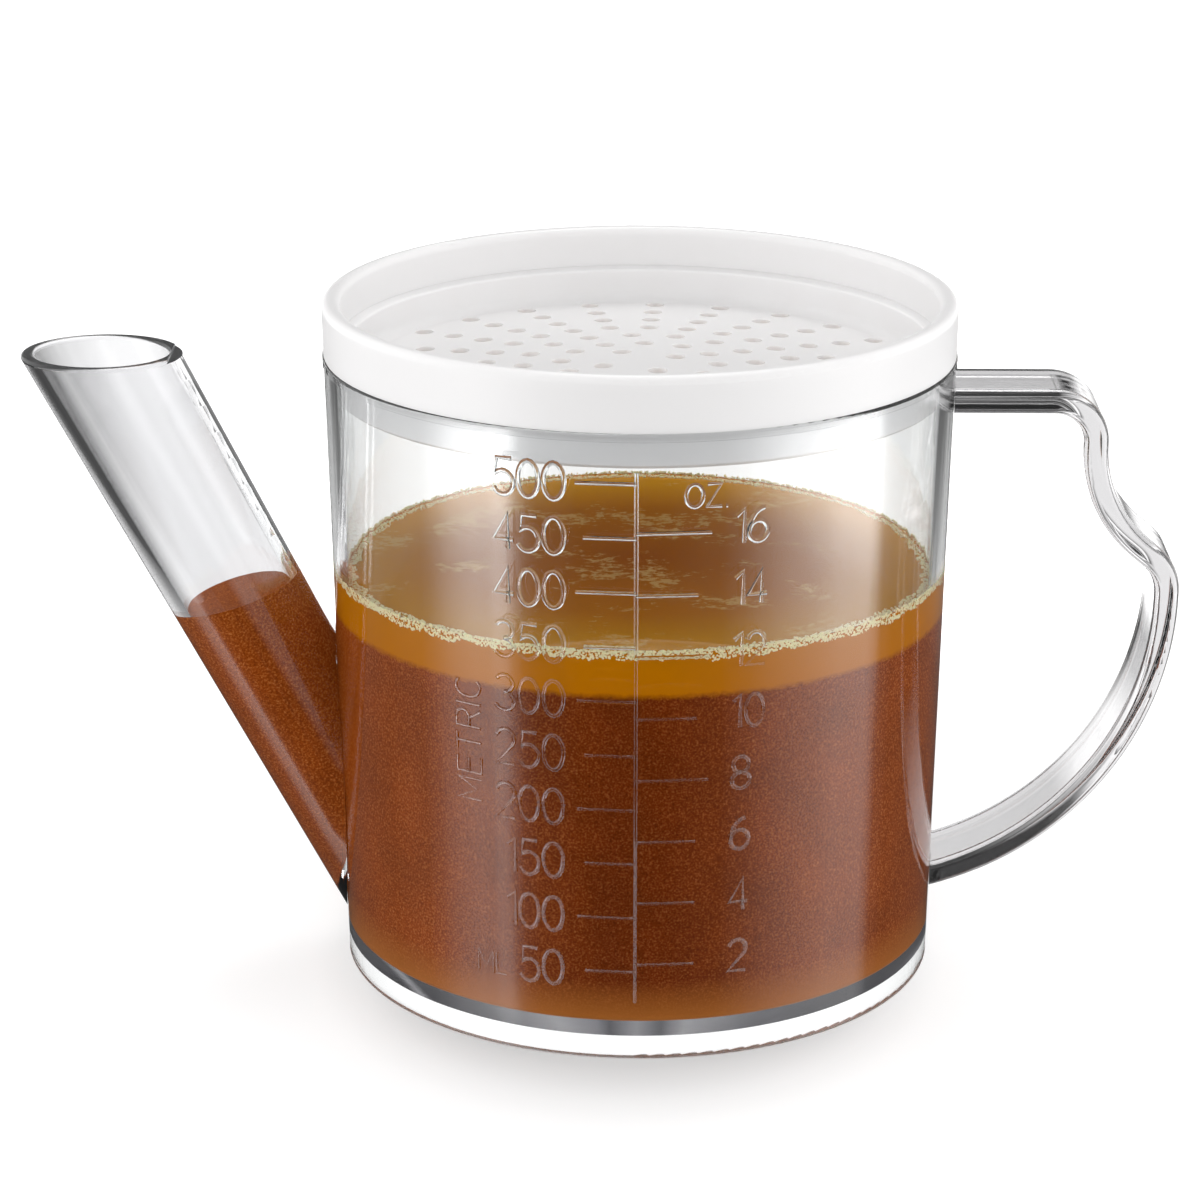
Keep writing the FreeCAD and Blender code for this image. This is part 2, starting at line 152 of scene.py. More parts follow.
def clear_plastic(name, tone, lean=0.0, matt=None, ior=SAN_IOR):
    """A material of clear SAN; its tone is what a thickness of the part leaves of white light.

    The waves run up a part that leans to the left by an angle. A cut or scuffed edge is given as the
    height where it is clear, the height where it is matt, and how rough it is there.
    """
    material, tree = new_material(name)
    place = add_node(tree, "ShaderNodeTexCoord").outputs["Object"]
    roughness = 0.0
    if matt:
        height = add_node(tree, "ShaderNodeSeparateXYZ", {"Vector": place}).outputs["Z"]
        edge = {"Value": height, "From Min": matt[0], "From Max": matt[1], "To Max": matt[2]}
        roughness = add_node(tree, "ShaderNodeMapRange", edge)
    along = add_node(
        tree,
        "ShaderNodeMapping",
        {"Vector": place, "Rotation": (0, -lean, 0), "Scale": (WAVE_WIDTH, WAVE_WIDTH, WAVE_LENGTH)},
        vector_type="TEXTURE",
    )
    waves = add_node(tree, "ShaderNodeTexNoise", {"Vector": along, "Scale": 1.0, "Detail": 1.0})
    bump = add_node(
        tree, "ShaderNodeBump", {"Height": waves, "Strength": WAVE_STRENGTH, "Distance": WAVE_DEPTH}
    )
    looks = {"Base Color": linear(tone), "Roughness": roughness, "IOR": ior, "Transmission Weight": 1.0}
    plastic = add_node(tree, "ShaderNodeBsdfPrincipled", {**looks, "Normal": bump})
    see_through = add_node(tree, "ShaderNodeBsdfTransparent", {"Color": linear("F0F1F2")})
    shadow = add_node(tree, "ShaderNodeLightPath").outputs["Is Shadow Ray"]
    mix = add_node(tree, "ShaderNodeMixShader", {0: shadow, 1: plastic, 2: see_through})
    add_node(tree, "ShaderNodeOutputMaterial", {"Surface": mix})
    return material


print("waves in the plastic, mm:", WAVE_WIDTH / MM, "by", WAVE_LENGTH / MM)

# %% [markdown]
# ## Where the clear plastic is matt
#
# The spout is cut level at its mouth, and the saw leaves a fine grey face there. The foot is scuffed
# by the table. Both are bands of height, so the same material shows them by getting rougher there.

# %% The clear parts
SPOUT_LEAN = math.radians(27.3)
spout_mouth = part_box("spout")[1].z
SCUFFED_FOOT = (0.5 * MM, 0.3 * MM, 0.4)
CUT_MOUTH = (spout_mouth - 0.6 * MM, spout_mouth - 0.5 * MM, 0.3)

clear_san = clear_plastic("clear_SAN_injection_moulded", "F7F8F8", matt=SCUFFED_FOOT)
clear_spout = clear_plastic("clear_SAN_drawn_spout", "F2F2F3", SPOUT_LEAN, CUT_MOUTH)
clear_thick = clear_plastic("clear_SAN_thick_handle", "DDDCDD")
for node, plastic in (("jug_body", clear_san), ("spout", clear_spout), ("handle", clear_thick)):
    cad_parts[node].data.materials.clear()
    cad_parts[node].data.materials.append(plastic)
print("clear parts:", [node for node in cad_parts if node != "strainer_lid"])

# %% [markdown]
# ## White plastic
#
# The strainer lid is polypropylene, filled white. It is softer and waxier than SAN: light goes a
# millimetre into it before it comes back, which softens the rims of the holes, and the fine texture of
# the mould blurs its highlights. Subsurface scattering gives the first, roughness and a fine bump the
# second.

# %% Material: white polypropylene
PP_IOR = 1.49
MOULD_GRAIN, GRAIN_DEPTH = 0.4 * MM, 0.02 * MM
LIGHT_DEPTH = 1.2 * MM

white_pp, tree = new_material("white_polypropylene_injection_moulded")
place = add_node(tree, "ShaderNodeTexCoord").outputs["Object"]
grain = add_node(tree, "ShaderNodeTexNoise", {"Vector": place, "Scale": 1 / MOULD_GRAIN, "Detail": 2.0})
bump = add_node(tree, "ShaderNodeBump", {"Height": grain, "Strength": 0.15, "Distance": GRAIN_DEPTH})
plastic = add_node(
    tree,
    "ShaderNodeBsdfPrincipled",
    {
        "Base Color": linear("E6E5E5"),
        "Roughness": 0.38,
        "IOR": PP_IOR,
        "Subsurface Weight": 0.6,
        "Subsurface Radius": (1.0, 1.0, 1.0),
        "Subsurface Scale": LIGHT_DEPTH,
        "Normal": bump,
    },
)
add_node(tree, "ShaderNodeOutputMaterial", {"Surface": plastic})

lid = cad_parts["strainer_lid"]
lid.data.materials.clear()
lid.data.materials.append(white_pp)
print("white parts: strainer_lid, triangles:", len(lid.data.polygons))

# %% [markdown]
# ## Where the scale's lines go
#
# The scale reads millilitres on the left of its line and imperial fluid ounces on the right. Its
# heights could be typed in, but they are simply the level at which the tapered jug holds that much:
# the volume of a cone between two levels, solved for the upper one. So the scale is true to this jug.

# %% Heights of the scale
ML = 1e-6
FLUID_OUNCE = 28.413 * ML
inner_foot = wall_radius(FLOOR_TOP) - WALL


def level_of(volume):
    """Height of the surface when the jug holds a volume, in cubic metres."""
    radius = (inner_foot**3 + 3 * flare * volume / math.pi) ** (1 / 3)
    return FLOOR_TOP + (radius - inner_foot) / flare


metric_marks = {mark: level_of(mark * ML) for mark in range(50, 501, 50)}
ounce_marks = {mark: level_of(mark * FLUID_OUNCE) for mark in range(2, 17, 2)}
print("500 ml at mm:", round(metric_marks[500] / MM, 2), "16 oz at mm:", round(ounce_marks[16] / MM, 2))

# %% [markdown]
# ## Lettering as pen strokes
#
# The mould's letters are thin raised lines of even width, cut by a tool that follows each stroke. A
# font would give filled outlines, so each sign is drawn here as the tool would: straight runs and
# bows, in a square where the height is 1. Each sign is its width and its strokes. They are laid out
# flat first: x is the way round the wall, y the height, and the wrap onto the cone comes later.

# %% Signs drawn by strokes
BOW_STEP = 18


def bow(middle_x, middle_y, half_width, half_height, start, stop):
    """Points on part of an ellipse, between two angles in degrees."""
    steps = max(3, round(abs(stop - start) / BOW_STEP))
    angles = [math.radians(start + (stop - start) * i / steps) for i in range(steps + 1)]
    return [(middle_x + half_width * math.cos(a), middle_y + half_height * math.sin(a)) for a in angles]


SIGNS = {
    "0": (0.56, [bow(0.28, 0.5, 0.28, 0.5, 90, 450)]),
    "1": (0.24, [[(0.0, 0.8), (0.24, 1.0), (0.24, 0.0)]]),
    "2": (0.56, [bow(0.28, 0.72, 0.27, 0.28, 165, -38) + [(0.0, 0.0), (0.56, 0.0)]]),
    "3": (0.56, [bow(0.27, 0.76, 0.25, 0.24, 150, -90), bow(0.27, 0.26, 0.29, 0.26, 90, -155)]),
    "4": (0.58, [[(0.42, 0.0), (0.42, 1.0), (0.0, 0.27), (0.58, 0.27)]]),
    "5": (0.56, [[(0.52, 1.0), (0.1, 1.0), (0.06, 0.55)] + bow(0.27, 0.33, 0.29, 0.33, 130, -155)]),
    "6": (0.56, [bow(0.28, 0.31, 0.28, 0.31, 0, 360), bow(0.5, 0.31, 0.5, 0.69, 180, 95)]),
    "8": (0.56, [bow(0.28, 0.75, 0.24, 0.25, 90, 450), bow(0.28, 0.25, 0.28, 0.25, 90, 450)]),
    "O": (0.72, [bow(0.36, 0.5, 0.36, 0.5, 90, 450)]),
    "Z": (0.64, [[(0.02, 1.0), (0.62, 1.0), (0.0, 0.0), (0.64, 0.0)]]),
    ".": (0.1, [[(0.02, 0.0), (0.1, 0.0)]]),
    "M": (0.76, [[(0.0, 0.0), (0.0, 1.0), (0.38, 0.2), (0.76, 1.0), (0.76, 0.0)]]),
    "E": (0.58, [[(0.58, 1.0), (0.0, 1.0), (0.0, 0.0), (0.58, 0.0)], [(0.0, 0.52), (0.52, 0.52)]]),
    "T": (0.64, [[(0.0, 1.0), (0.64, 1.0)], [(0.32, 1.0), (0.32, 0.0)]]),
    "R": (0.6, [[(0.0, 0.0), (0.0, 1.0)] + bow(0.34, 0.74, 0.26, 0.26, 90, -90) + [(0.0, 0.48)],
                [(0.32, 0.48), (0.6, 0.0)]]),
    "I": (0.02, [[(0.01, 0.0), (0.01, 1.0)]]),
    "C": (0.7, [bow(0.37, 0.5, 0.37, 0.5, 50, 310)]),
    "L": (0.5, [[(0.0, 1.0), (0.0, 0.0), (0.5, 0.0)]]),
}
print("signs:", len(SIGNS))

# %% Writing a word


def width_of(word, height, gap):
    """Width of a word, for letters of a height with a gap between them."""
    return sum(SIGNS[sign][0] for sign in word) * height + gap * (len(word) - 1)


def write(word, start, height, gap, upright=True):
    """Strokes of a word from its lower left corner; a word that isn't upright reads upwards."""
    strokes, pen = [], 0.0
    for sign in word:
        for stroke in SIGNS[sign][1]:
            placed = [(pen + x * height, y * height) for x, y in stroke]
            if not upright:
                placed = [(-y, x) for x, y in placed]
            strokes.append([(start[0] + x, start[1] + y) for x, y in placed])
        pen += SIGNS[sign][0] * height + gap
    return strokes


print("width of 500 at a height of 1:", round(width_of("500", 1.0, 0.13), 2))

# %% [markdown]
# ## Laying the scale out
#
# One upright line, a tick for each mark with the round hundreds longer, the numbers beside their
# ticks, and the units. Distances round the wall are measured from the middle of the front, to the left
# and right. The upright line has a point at the height where its softer lower part begins, so that the
# look can change there.

# %% Strokes of the scale
SCALE_TURN = -0.35 * MM
LINE_BOTTOM, SOFT_BELOW, LINE_TOP = 9.0 * MM, 62.0 * MM, 89.3 * MM
LONG_TICK, SHORT_TICK = 8.4 * MM, 7.3 * MM
LONG_OUNCE, SHORT_OUNCE, LONG_OUNCES = 10.4 * MM, 8.6 * MM, (8, 12, 16)
DIGIT, DIGIT_GAP = 5.3 * MM, 0.7 * MM
NUMBER_EDGE, NUMBER_DRIFT = -10.2 * MM, 0.9 * MM
OUNCE_DIGIT, OUNCE_DROP, OUNCE_EDGE = 0.92 * DIGIT, 0.35 * DIGIT, 13.5 * MM

tick_strokes = [[(SCALE_TURN, LINE_BOTTOM), (SCALE_TURN, SOFT_BELOW), (SCALE_TURN, LINE_TOP)]]
number_strokes = []
for mark, height in metric_marks.items():
    reach = LONG_TICK if mark % 100 == 0 else SHORT_TICK
    tick_strokes.append([(SCALE_TURN - reach, height), (SCALE_TURN, height)])
    edge = NUMBER_EDGE - NUMBER_DRIFT * (1 - height / jug_height)
    start = (edge - width_of(str(mark), DIGIT, DIGIT_GAP), height - DIGIT / 2)
    number_strokes += write(str(mark), start, DIGIT, DIGIT_GAP)
for mark, height in ounce_marks.items():
    reach = LONG_OUNCE if mark in LONG_OUNCES else SHORT_OUNCE
    tick_strokes.append([(SCALE_TURN, height), (SCALE_TURN + reach, height)])
    number_strokes += write(str(mark), (OUNCE_EDGE, height - OUNCE_DROP), OUNCE_DIGIT, DIGIT_GAP)
print("strokes of ticks and numbers:", len(tick_strokes), len(number_strokes))

# %% Strokes of the words
word_strokes = []
for word, corner, height, gap, upright in (
    ("OZ.", (6.4 * MM, 84.2 * MM), 3.3 * MM, 0.5 * MM, True),
    ("ML", (-24.6 * MM, 11.5 * MM), 3.3 * MM, 0.6 * MM, True),
    ("METRIC", (-23.4 * MM, 38.2 * MM), 4.1 * MM, 1.0 * MM, False),
):
    word_strokes += write(word, corner, height, gap, upright)
print("strokes of words:", len(word_strokes))

# %% [markdown]
# ## Raising the strokes on the wall
#
# A ridge that follows a path is what Curve to Mesh is for. Its profile is a low bow over a flat back,
# with sharp back edges, as a milled groove in the mould leaves it: it works as a small lens, which
# gives each stroke a white line and a shadow. An arc of a quarter turn that is closed by its chord has
# that form, and is then stretched to the height that is wanted.

# %% Geometry Nodes: a tree with named inputs


def geometry_tree(name, source, numbers, materials, result):
    """A geometry tree with a source, numbers as {name: value}, materials and one result.

    Returns the tree and the outputs of its Group Input.
    """
    tree = bpy.data.node_groups.new(name, "GeometryNodeTree")
    sockets = tree.interface
    sockets.new_socket(source, in_out="INPUT", socket_type="NodeSocketGeometry")
    for number, value in numbers.items():
        kind = "NodeSocketInt" if isinstance(value, int) else "NodeSocketFloat"
        sockets.new_socket(number, in_out="INPUT", socket_type=kind).default_value = value
    for material in materials:
        sockets.new_socket(material, in_out="INPUT", socket_type="NodeSocketMaterial")
    sockets.new_socket(result, in_out="OUTPUT", socket_type="NodeSocketGeometry")
    return tree, add_node(tree, "NodeGroupInput").outputs


print("geometry trees so far:", len(bpy.data.node_groups))

# %% Geometry Nodes: profile of a stroke
BOW_POINTS = 8
BOW_START, BOW_TURN = 1.25 * math.pi, 0.5 * math.pi
BOW_RADIUS = math.sqrt(2)


def stroke_profile(tree, given):
    """Adds the profile of a stroke to a tree: half its width on each side, its back at zero."""
    half = add_node(tree, "ShaderNodeMath", {0: given["Stroke Width"], 1: 0.5}, operation="MULTIPLY")
    radius = add_node(tree, "ShaderNodeMath", {0: half, 1: BOW_RADIUS}, operation="MULTIPLY")
    bow_size = {"Resolution": BOW_POINTS, "Radius": radius, "Start Angle": BOW_START, "Sweep Angle": BOW_TURN}
    arc = add_node(tree, "GeometryNodeCurveArc", bow_size, mode="RADIUS")
    closed = add_node(tree, "GeometryNodeSetSplineCyclic", {"Geometry": arc, "Cyclic": True})
    height = add_node(tree, "ShaderNodeMath", {0: half, 1: BOW_RADIUS - 1}, operation="MULTIPLY")
    stretch = add_node(tree, "ShaderNodeMath", {0: given["Stroke Height"], 1: height}, operation="DIVIDE")
    scale = add_node(tree, "ShaderNodeCombineXYZ", {"X": 1.0, "Y": stretch, "Z": 1.0})
    chord = add_node(tree, "ShaderNodeMath", {0: half, 1: stretch}, operation="MULTIPLY")
    shift = add_node(tree, "ShaderNodeCombineXYZ", {"Y": chord})
    return add_node(tree, "GeometryNodeTransform", {"Geometry": closed, "Scale": scale, "Translation": shift})


print("points in a stroke's profile:", BOW_POINTS)

# %% [markdown]
# ## Wrapping the strokes onto the cone
#
# Set Position wraps the flat ridges round the wall: the way round becomes an angle, and the height of
# the ridge is added to the wall's radius. The back is sunk a little into the wall, so that no gap of
# air shows under it. In front of dark gravy such strokes nearly vanish, so a Map Range lowers the
# ridges towards the foot, most of all on the right.

# %% Geometry Nodes: wrap onto the cone
RISE_FROM, RISE_TO = 30 * MM, 66 * MM
RIGHT_FROM, RIGHT_TO = 11.5 * MM, 13.0 * MM


def laid_on_cone(tree, given, flat):
    """Adds the wrap of flat ridges onto the jug's wall to a tree."""
    spot = add_node(tree, "GeometryNodeInputPosition")
    part = add_node(tree, "ShaderNodeSeparateXYZ", {"Vector": spot}).outputs
    angle = add_node(tree, "ShaderNodeMath", {0: part["X"], 1: given["Lettering Radius"]}, operation="DIVIDE")
    slope = add_node(tree, "ShaderNodeMath", {0: given["Flare"], 1: part["Y"]}, operation="MULTIPLY")
    wall = add_node(tree, "ShaderNodeMath", {0: given["Foot Radius"], 1: slope}, operation="ADD")
    right = {"Value": part["X"], "From Min": RIGHT_FROM, "From Max": RIGHT_TO}
    rises = {"To Min": given["Rise Below"], "To Max": given["Rise On The Right"]}
    low_rise = add_node(tree, "ShaderNodeMapRange", {**right, **rises})
    up = {"Value": part["Y"], "From Min": RISE_FROM, "From Max": RISE_TO, "To Min": low_rise}
    share = add_node(tree, "ShaderNodeMapRange", up)
    rise = add_node(tree, "ShaderNodeMath", {0: part["Z"], 1: share}, operation="MULTIPLY")
    proud = add_node(tree, "ShaderNodeMath", {0: rise, 1: given["Sunk"]}, operation="SUBTRACT")
    radius = add_node(tree, "ShaderNodeMath", {0: wall, 1: proud}, operation="ADD")
    sine = add_node(tree, "ShaderNodeMath", {0: angle}, operation="SINE")
    cosine = add_node(tree, "ShaderNodeMath", {0: angle}, operation="COSINE")
    across = add_node(tree, "ShaderNodeMath", {0: radius, 1: sine}, operation="MULTIPLY")
    towards = add_node(tree, "ShaderNodeMath", {0: radius, 1: cosine}, operation="MULTIPLY")
    front = add_node(tree, "ShaderNodeMath", {0: towards, 1: -1.0}, operation="MULTIPLY")
    wrapped = add_node(tree, "ShaderNodeCombineXYZ", {"X": across, "Y": front, "Z": part["Y"]})
    return add_node(tree, "GeometryNodeSetPosition", {"Geometry": flat, "Position": wrapped})


print("strokes rise to their full height between mm:", RISE_FROM / MM, RISE_TO / MM)

# %% [markdown]
# ## The tree of the strokes
#
# The two halves come together here. In front of the gravy the strokes also have to bend light less,
# so those below the fat's surface get a second plastic with a lower IOR, picked by their height.

# %% Geometry Nodes: raised strokes
RIDGE_SIZES = {
    "Stroke Width": 0.6 * MM,
    "Stroke Height": 0.22 * MM,
    "Foot Radius": wall_radius(0),
    "Flare": flare,
    "Lettering Radius": 46.0 * MM,
    "Sunk": 0.04 * MM,
    "Rise Below": 0.5,
    "Rise On The Right": 0.35,
}


def ridge_tree():
    """A node tree that turns flat strokes into ridges on the jug's wall."""
    plastics = ("Plastic", "Plastic Low Down")
    tree, given = geometry_tree("ridges_on_cone", "Strokes", RIDGE_SIZES, plastics, "Ridges")
    level = add_node(tree, "GeometryNodeSetCurveNormal", {"Curve": given["Strokes"]}, mode="Z_UP")
    run = {"Curve": level, "Profile Curve": stroke_profile(tree, given), "Fill Caps": True}
    flat = add_node(tree, "GeometryNodeCurveToMesh", run)
    real = add_node(tree, "GeometryNodeRealizeInstances", {"Geometry": laid_on_cone(tree, given, flat)})
    painted = add_node(tree, "GeometryNodeSetMaterial", {"Geometry": real, "Material": given["Plastic"]})
    spot = add_node(tree, "GeometryNodeInputPosition")
    height = add_node(tree, "ShaderNodeSeparateXYZ", {"Vector": spot}).outputs["Z"]
    low = add_node(tree, "FunctionNodeCompare", {"A": height, "B": SOFT_BELOW}, operation="LESS_THAN")
    soft = {"Geometry": painted, "Selection": low, "Material": given["Plastic Low Down"]}
    add_node(tree, "NodeGroupOutput", {"Ridges": add_node(tree, "GeometryNodeSetMaterial", soft)})
    return tree


ridges_on_cone = ridge_tree()
print("nodes in the ridge tree:", len(ridges_on_cone.nodes))

# %% [markdown]
# ## From a node tree to a plain piece
#
# The export wants plain meshes, so a tree is run once: its inputs are set by their identifiers, the
# evaluated result is copied to a mesh, and the source with its modifier is thrown away. The same
# helper turns faces outwards where the sign of the mesh's volume says that they point in.

# %% Bake helpers


def mesh_object(name, mesh):
    """A mesh at the origin, with smooth faces that point outwards."""
    shape = bmesh.new()
    shape.from_mesh(mesh)
    if shape.calc_volume(signed=True) < 0:
        bmesh.ops.reverse_faces(shape, faces=shape.faces)
    shape.to_mesh(mesh)
    shape.free()
    mesh.shade_smooth()
    made = bpy.data.objects.new(name, mesh)
    bpy.context.scene.collection.objects.link(made)
    return made


def run_tree(source, tree, inputs):
    """Runs a node tree on an object and returns a plain mesh object with the object's name."""
    modifier = source.modifiers.new("tree", "NODES")
    modifier.node_group = tree
    for socket in tree.interface.items_tree:
        if socket.in_out == "INPUT" and socket.name in inputs:
            modifier[socket.identifier] = inputs[socket.name]
    depsgraph = bpy.context.evaluated_depsgraph_get()
    mesh = bpy.data.meshes.new_from_object(source.evaluated_get(depsgraph), depsgraph=depsgraph)
    name = source.name
    source.modifiers.remove(modifier)
    bpy.data.objects.remove(source)
    return mesh_object(name, mesh)


# %% [markdown]
# ## The scale as three pieces
#
# Ticks, numbers and words differ a little in width and height, so each is a piece of its own. A
# stroke is shaded smooth over its bow and sharp at its back edges, as a moulded ridge is: any edge
# that turns by more than 40 degrees stays sharp.

# %% The raised scale
SAME_POINT = 0.001 * MM
SHARP = math.radians(40)
SOFT_IOR = 1.45
soft_san = clear_plastic("clear_SAN_soft_strokes", "F7F8F8", ior=SOFT_IOR)


def stroke_curve(name, strokes):
    """A curve object with one flat polyline for each stroke."""
    curve = bpy.data.curves.new(name, "CURVE")
    curve.dimensions = "3D"
    for stroke in strokes:
        closed = math.dist(stroke[0], stroke[-1]) < SAME_POINT
        points = stroke[:-1] if closed else stroke
        line = curve.splines.new("POLY")
        line.points.add(len(points) - 1)
        line.use_cyclic_u = closed
        for point, (x, y) in zip(line.points, points):
            point.co = (x, y, 0.0, 1.0)
    made = bpy.data.objects.new(name, curve)
    bpy.context.scene.collection.objects.link(made)
    return made


for name, strokes, width, rise, plastic_low_down in (
    ("scale_ticks", tick_strokes, 0.6 * MM, 0.22 * MM, soft_san),
    ("scale_numbers", number_strokes, 0.75 * MM, 0.22 * MM, soft_san),
    ("scale_words", word_strokes, 0.6 * MM, 0.2 * MM, clear_san),
):
    sizes = {"Stroke Width": width, "Stroke Height": rise}
    plastics = {"Plastic": clear_san, "Plastic Low Down": plastic_low_down}
    piece = run_tree(stroke_curve(name, strokes), ridges_on_cone, {**sizes, **plastics})
    piece.data.set_sharp_from_angle(angle=SHARP)
    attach(piece, "jug")
    print(name, "faces:", len(piece.data.polygons))

# %% [markdown]
# ## The gravy and the fat
#
# The jug is shown as it is used: brown gravy below, melted fat on top of it, and a line of froth. The
# contents aren't part of the jug, so they are staged with the floor and stay out of the exported
# model. Both liquids are one body turned from an outline of radius and height, and the material tells
# them apart by height, because the edge between them is soft and ragged. It overlaps the plastic by a
# hair, because light would otherwise show a film of air between them.

# %% A solid turned from an outline


def inner_radius(height):
    """Radius of the jug's inner face at a height."""
    return wall_radius(height) - WALL


def turned(name, outline, steps=128):
    """A closed solid turned round Z from an outline of (radius, height) whose ends are on the axis."""
    verts, faces = [(0, 0, outline[0][1])], []
    for radius, height in outline[1:-1]:
        for step in range(steps):
            angle = 2 * math.pi * step / steps
            verts.append((radius * math.cos(angle), radius * math.sin(angle), height))
    verts.append((0, 0, outline[-1][1]))
    rings = len(outline) - 2
    for step in range(steps):
        follows = (step + 1) % steps
        faces.append((0, 1 + follows, 1 + step))
        for ring in range(rings - 1):
            low, high = 1 + ring * steps, 1 + (ring + 1) * steps
            faces.append((low + step, low + follows, high + follows, high + step))
        last = 1 + (rings - 1) * steps
        faces.append((last + step, last + follows, len(verts) - 1))
    mesh = bpy.data.meshes.new(name)
    mesh.from_pydata(verts, [], faces)
    return mesh_object(name, mesh)


print("inner radius at the floor, mm:", round(inner_radius(FLOOR_TOP) / MM, 2))

# %% [markdown]
# ## Outline of the contents
#
# The outline follows the rounded corner of the floor, goes up the wall and ends in a small meniscus,
# where the fat climbs the plastic: three tenths of a millimetre, falling off steeply over the first two
# millimetres from the wall.

# %% Contents of the jug
OVERLAP = 0.05 * MM
GRAVY_TOP = 55.9 * MM
FAT_TOP = 62.2 * MM
MENISCUS, MENISCUS_START, MENISCUS_REACH = 0.3 * MM, 0.1 * MM, 2.2 * MM
FILLET, FILLET_STEP = 1.0 * MM, 15

bottom = FLOOR_TOP - OVERLAP
foot_wall = inner_radius(bottom) + OVERLAP
rim_wall = inner_radius(FAT_TOP) + OVERLAP
fillet = [
    (foot_wall - FILLET + FILLET * math.cos(a), bottom + FILLET + FILLET * math.sin(a))
    for a in (math.radians(degrees) for degrees in range(-90, 1, FILLET_STEP))
]
climb = [
    (rim_wall - MENISCUS_START - MENISCUS_REACH * part, FAT_TOP + MENISCUS * (1 - part) ** 3)
    for part in (0.0, 0.1, 0.25, 0.45, 0.7, 1.0)
]
edge = (rim_wall, FAT_TOP + MENISCUS)
contents = turned("contents", [(0.0, bottom), *fillet, edge, *climb, (0.0, FAT_TOP)])
print("contents, radius and height in mm:", [round(side / MM, 2) for side in edge])

# %% [markdown]
# ## Gravy in the spout
#
# The spout is joined to the jug low down, so gravy without fat stands in it. Its bore is a cone along
# a leaning axis: the gravy is that cone, from inside the jug up to a plane that is cut with Bisect.
# The plane slopes a little, because the gravy stands higher on the side that faces the jug.

# %% The spout's bore
ROOT_HEIGHT, MOUTH_HEIGHT = 26.6 * MM, 94.0 * MM
ROOT_BORE, MOUTH_BORE = 7.6 * MM, 8.9 * MM
BORE_STEPS = 64

root = Vector((-wall_radius(ROOT_HEIGHT), 0, ROOT_HEIGHT))
axis = Vector((-math.sin(SPOUT_LEAN), 0, math.cos(SPOUT_LEAN)))
sideways = Vector((math.cos(SPOUT_LEAN), 0, math.sin(SPOUT_LEAN)))


def bore_ring(along):
    """Points on a ring round the spout's axis, at a distance along it from the jug's wall."""
    middle = root + axis * along
    radius = ROOT_BORE + (MOUTH_BORE - ROOT_BORE) * along * axis.z / (MOUTH_HEIGHT - ROOT_HEIGHT) + OVERLAP
    for step in range(BORE_STEPS):
        angle = 2 * math.pi * step / BORE_STEPS
        yield middle + radius * (math.cos(angle) * sideways + math.sin(angle) * Vector((0, 1, 0)))


def cut_flat(shape, spot, way):
    """Takes off what lies beyond a plane and closes the cut."""
    everything = shape.verts[:] + shape.edges[:] + shape.faces[:]
    cut = bmesh.ops.bisect_plane(shape, geom=everything, plane_co=spot, plane_no=way, clear_outer=True)
    rim = [item for item in cut["geom_cut"] if isinstance(item, bmesh.types.BMEdge)]
    bmesh.ops.contextual_create(shape, geom=rim)


print("spout's root, mm:", [round(side / MM, 1) for side in root])

# %% Spout gravy
SPOUT_LEVEL = 56.5 * MM
LEVEL_SLOPE = 0.3
BORE_BELOW, BORE_ABOVE = -24 * MM, 70 * MM

shape = bmesh.new()
low_ring, high_ring = [
    [shape.verts.new(point) for point in bore_ring(along)] for along in (BORE_BELOW, BORE_ABOVE)
]
for step in range(BORE_STEPS):
    follows = (step + 1) % BORE_STEPS
    shape.faces.new((low_ring[step], low_ring[follows], high_ring[follows], high_ring[step]))
shape.faces.new(low_ring)
cut_flat(shape, root + axis * ((SPOUT_LEVEL - ROOT_HEIGHT) / axis.z), Vector((-LEVEL_SLOPE, 0, 1)))
cut_flat(shape, (0, 0, FLOOR_TOP + OVERLAP), (0, 0, -1))
bmesh.ops.recalc_face_normals(shape, faces=shape.faces)
mesh = bpy.data.meshes.new("spout_gravy")
shape.to_mesh(mesh)
shape.free()
spout_gravy = mesh_object("spout_gravy", mesh)
spout_gravy.data.shade_flat()
for face in spout_gravy.data.polygons:
    face.use_smooth = len(face.vertices) == 4
print("spout gravy top, mm:", round(max(v.co.z for v in spout_gravy.data.vertices) / MM, 1))

# %% [markdown]
# ## What gravy looks like
#
# Gravy is a cloudy brown liquid full of fine flour and meat grain, so almost no light passes it. A
# plain rough surface with two sizes of noise is enough: grains of a third of a millimetre, and slow
# clouds where it is thicker. The real grain is finer still, and is drawn as coarse as it needs to show.

# %% Gravy: grain and clouds
GRAIN, CLOUD = 0.3 * MM, 9.0 * MM


def gravy_grain(tree, place):
    """Adds the brown of gravy, with its grain and clouds, to a tree and returns its output."""
    fine = add_node(
        tree, "ShaderNodeTexNoise", {"Vector": place, "Scale": 1 / GRAIN, "Detail": 3.0, "Roughness": 0.6}
    )
    slow = add_node(tree, "ShaderNodeTexNoise", {"Vector": place, "Scale": 1 / CLOUD, "Detail": 2.0})
    tone = add_node(tree, "ShaderNodeValToRGB", {"Fac": fine})
    ramp_stops(tone, [(0.28, linear("5D2604")), (0.5, linear("783207")), (0.74, linear("A0592D"))])
    cloud = add_node(tree, "ShaderNodeValToRGB", {"Fac": slow})
    ramp_stops(cloud, [(0.3, linear("E8E8E8")), (0.7, linear("FFFFFF"))])
    both = {0: 1.0, 6: tone, 7: cloud}
    return add_node(tree, "ShaderNodeMix", both, data_type="RGBA", blend_type="MULTIPLY").outputs[2]


print("gravy grain and clouds, mm:", GRAIN / MM, CLOUD / MM)
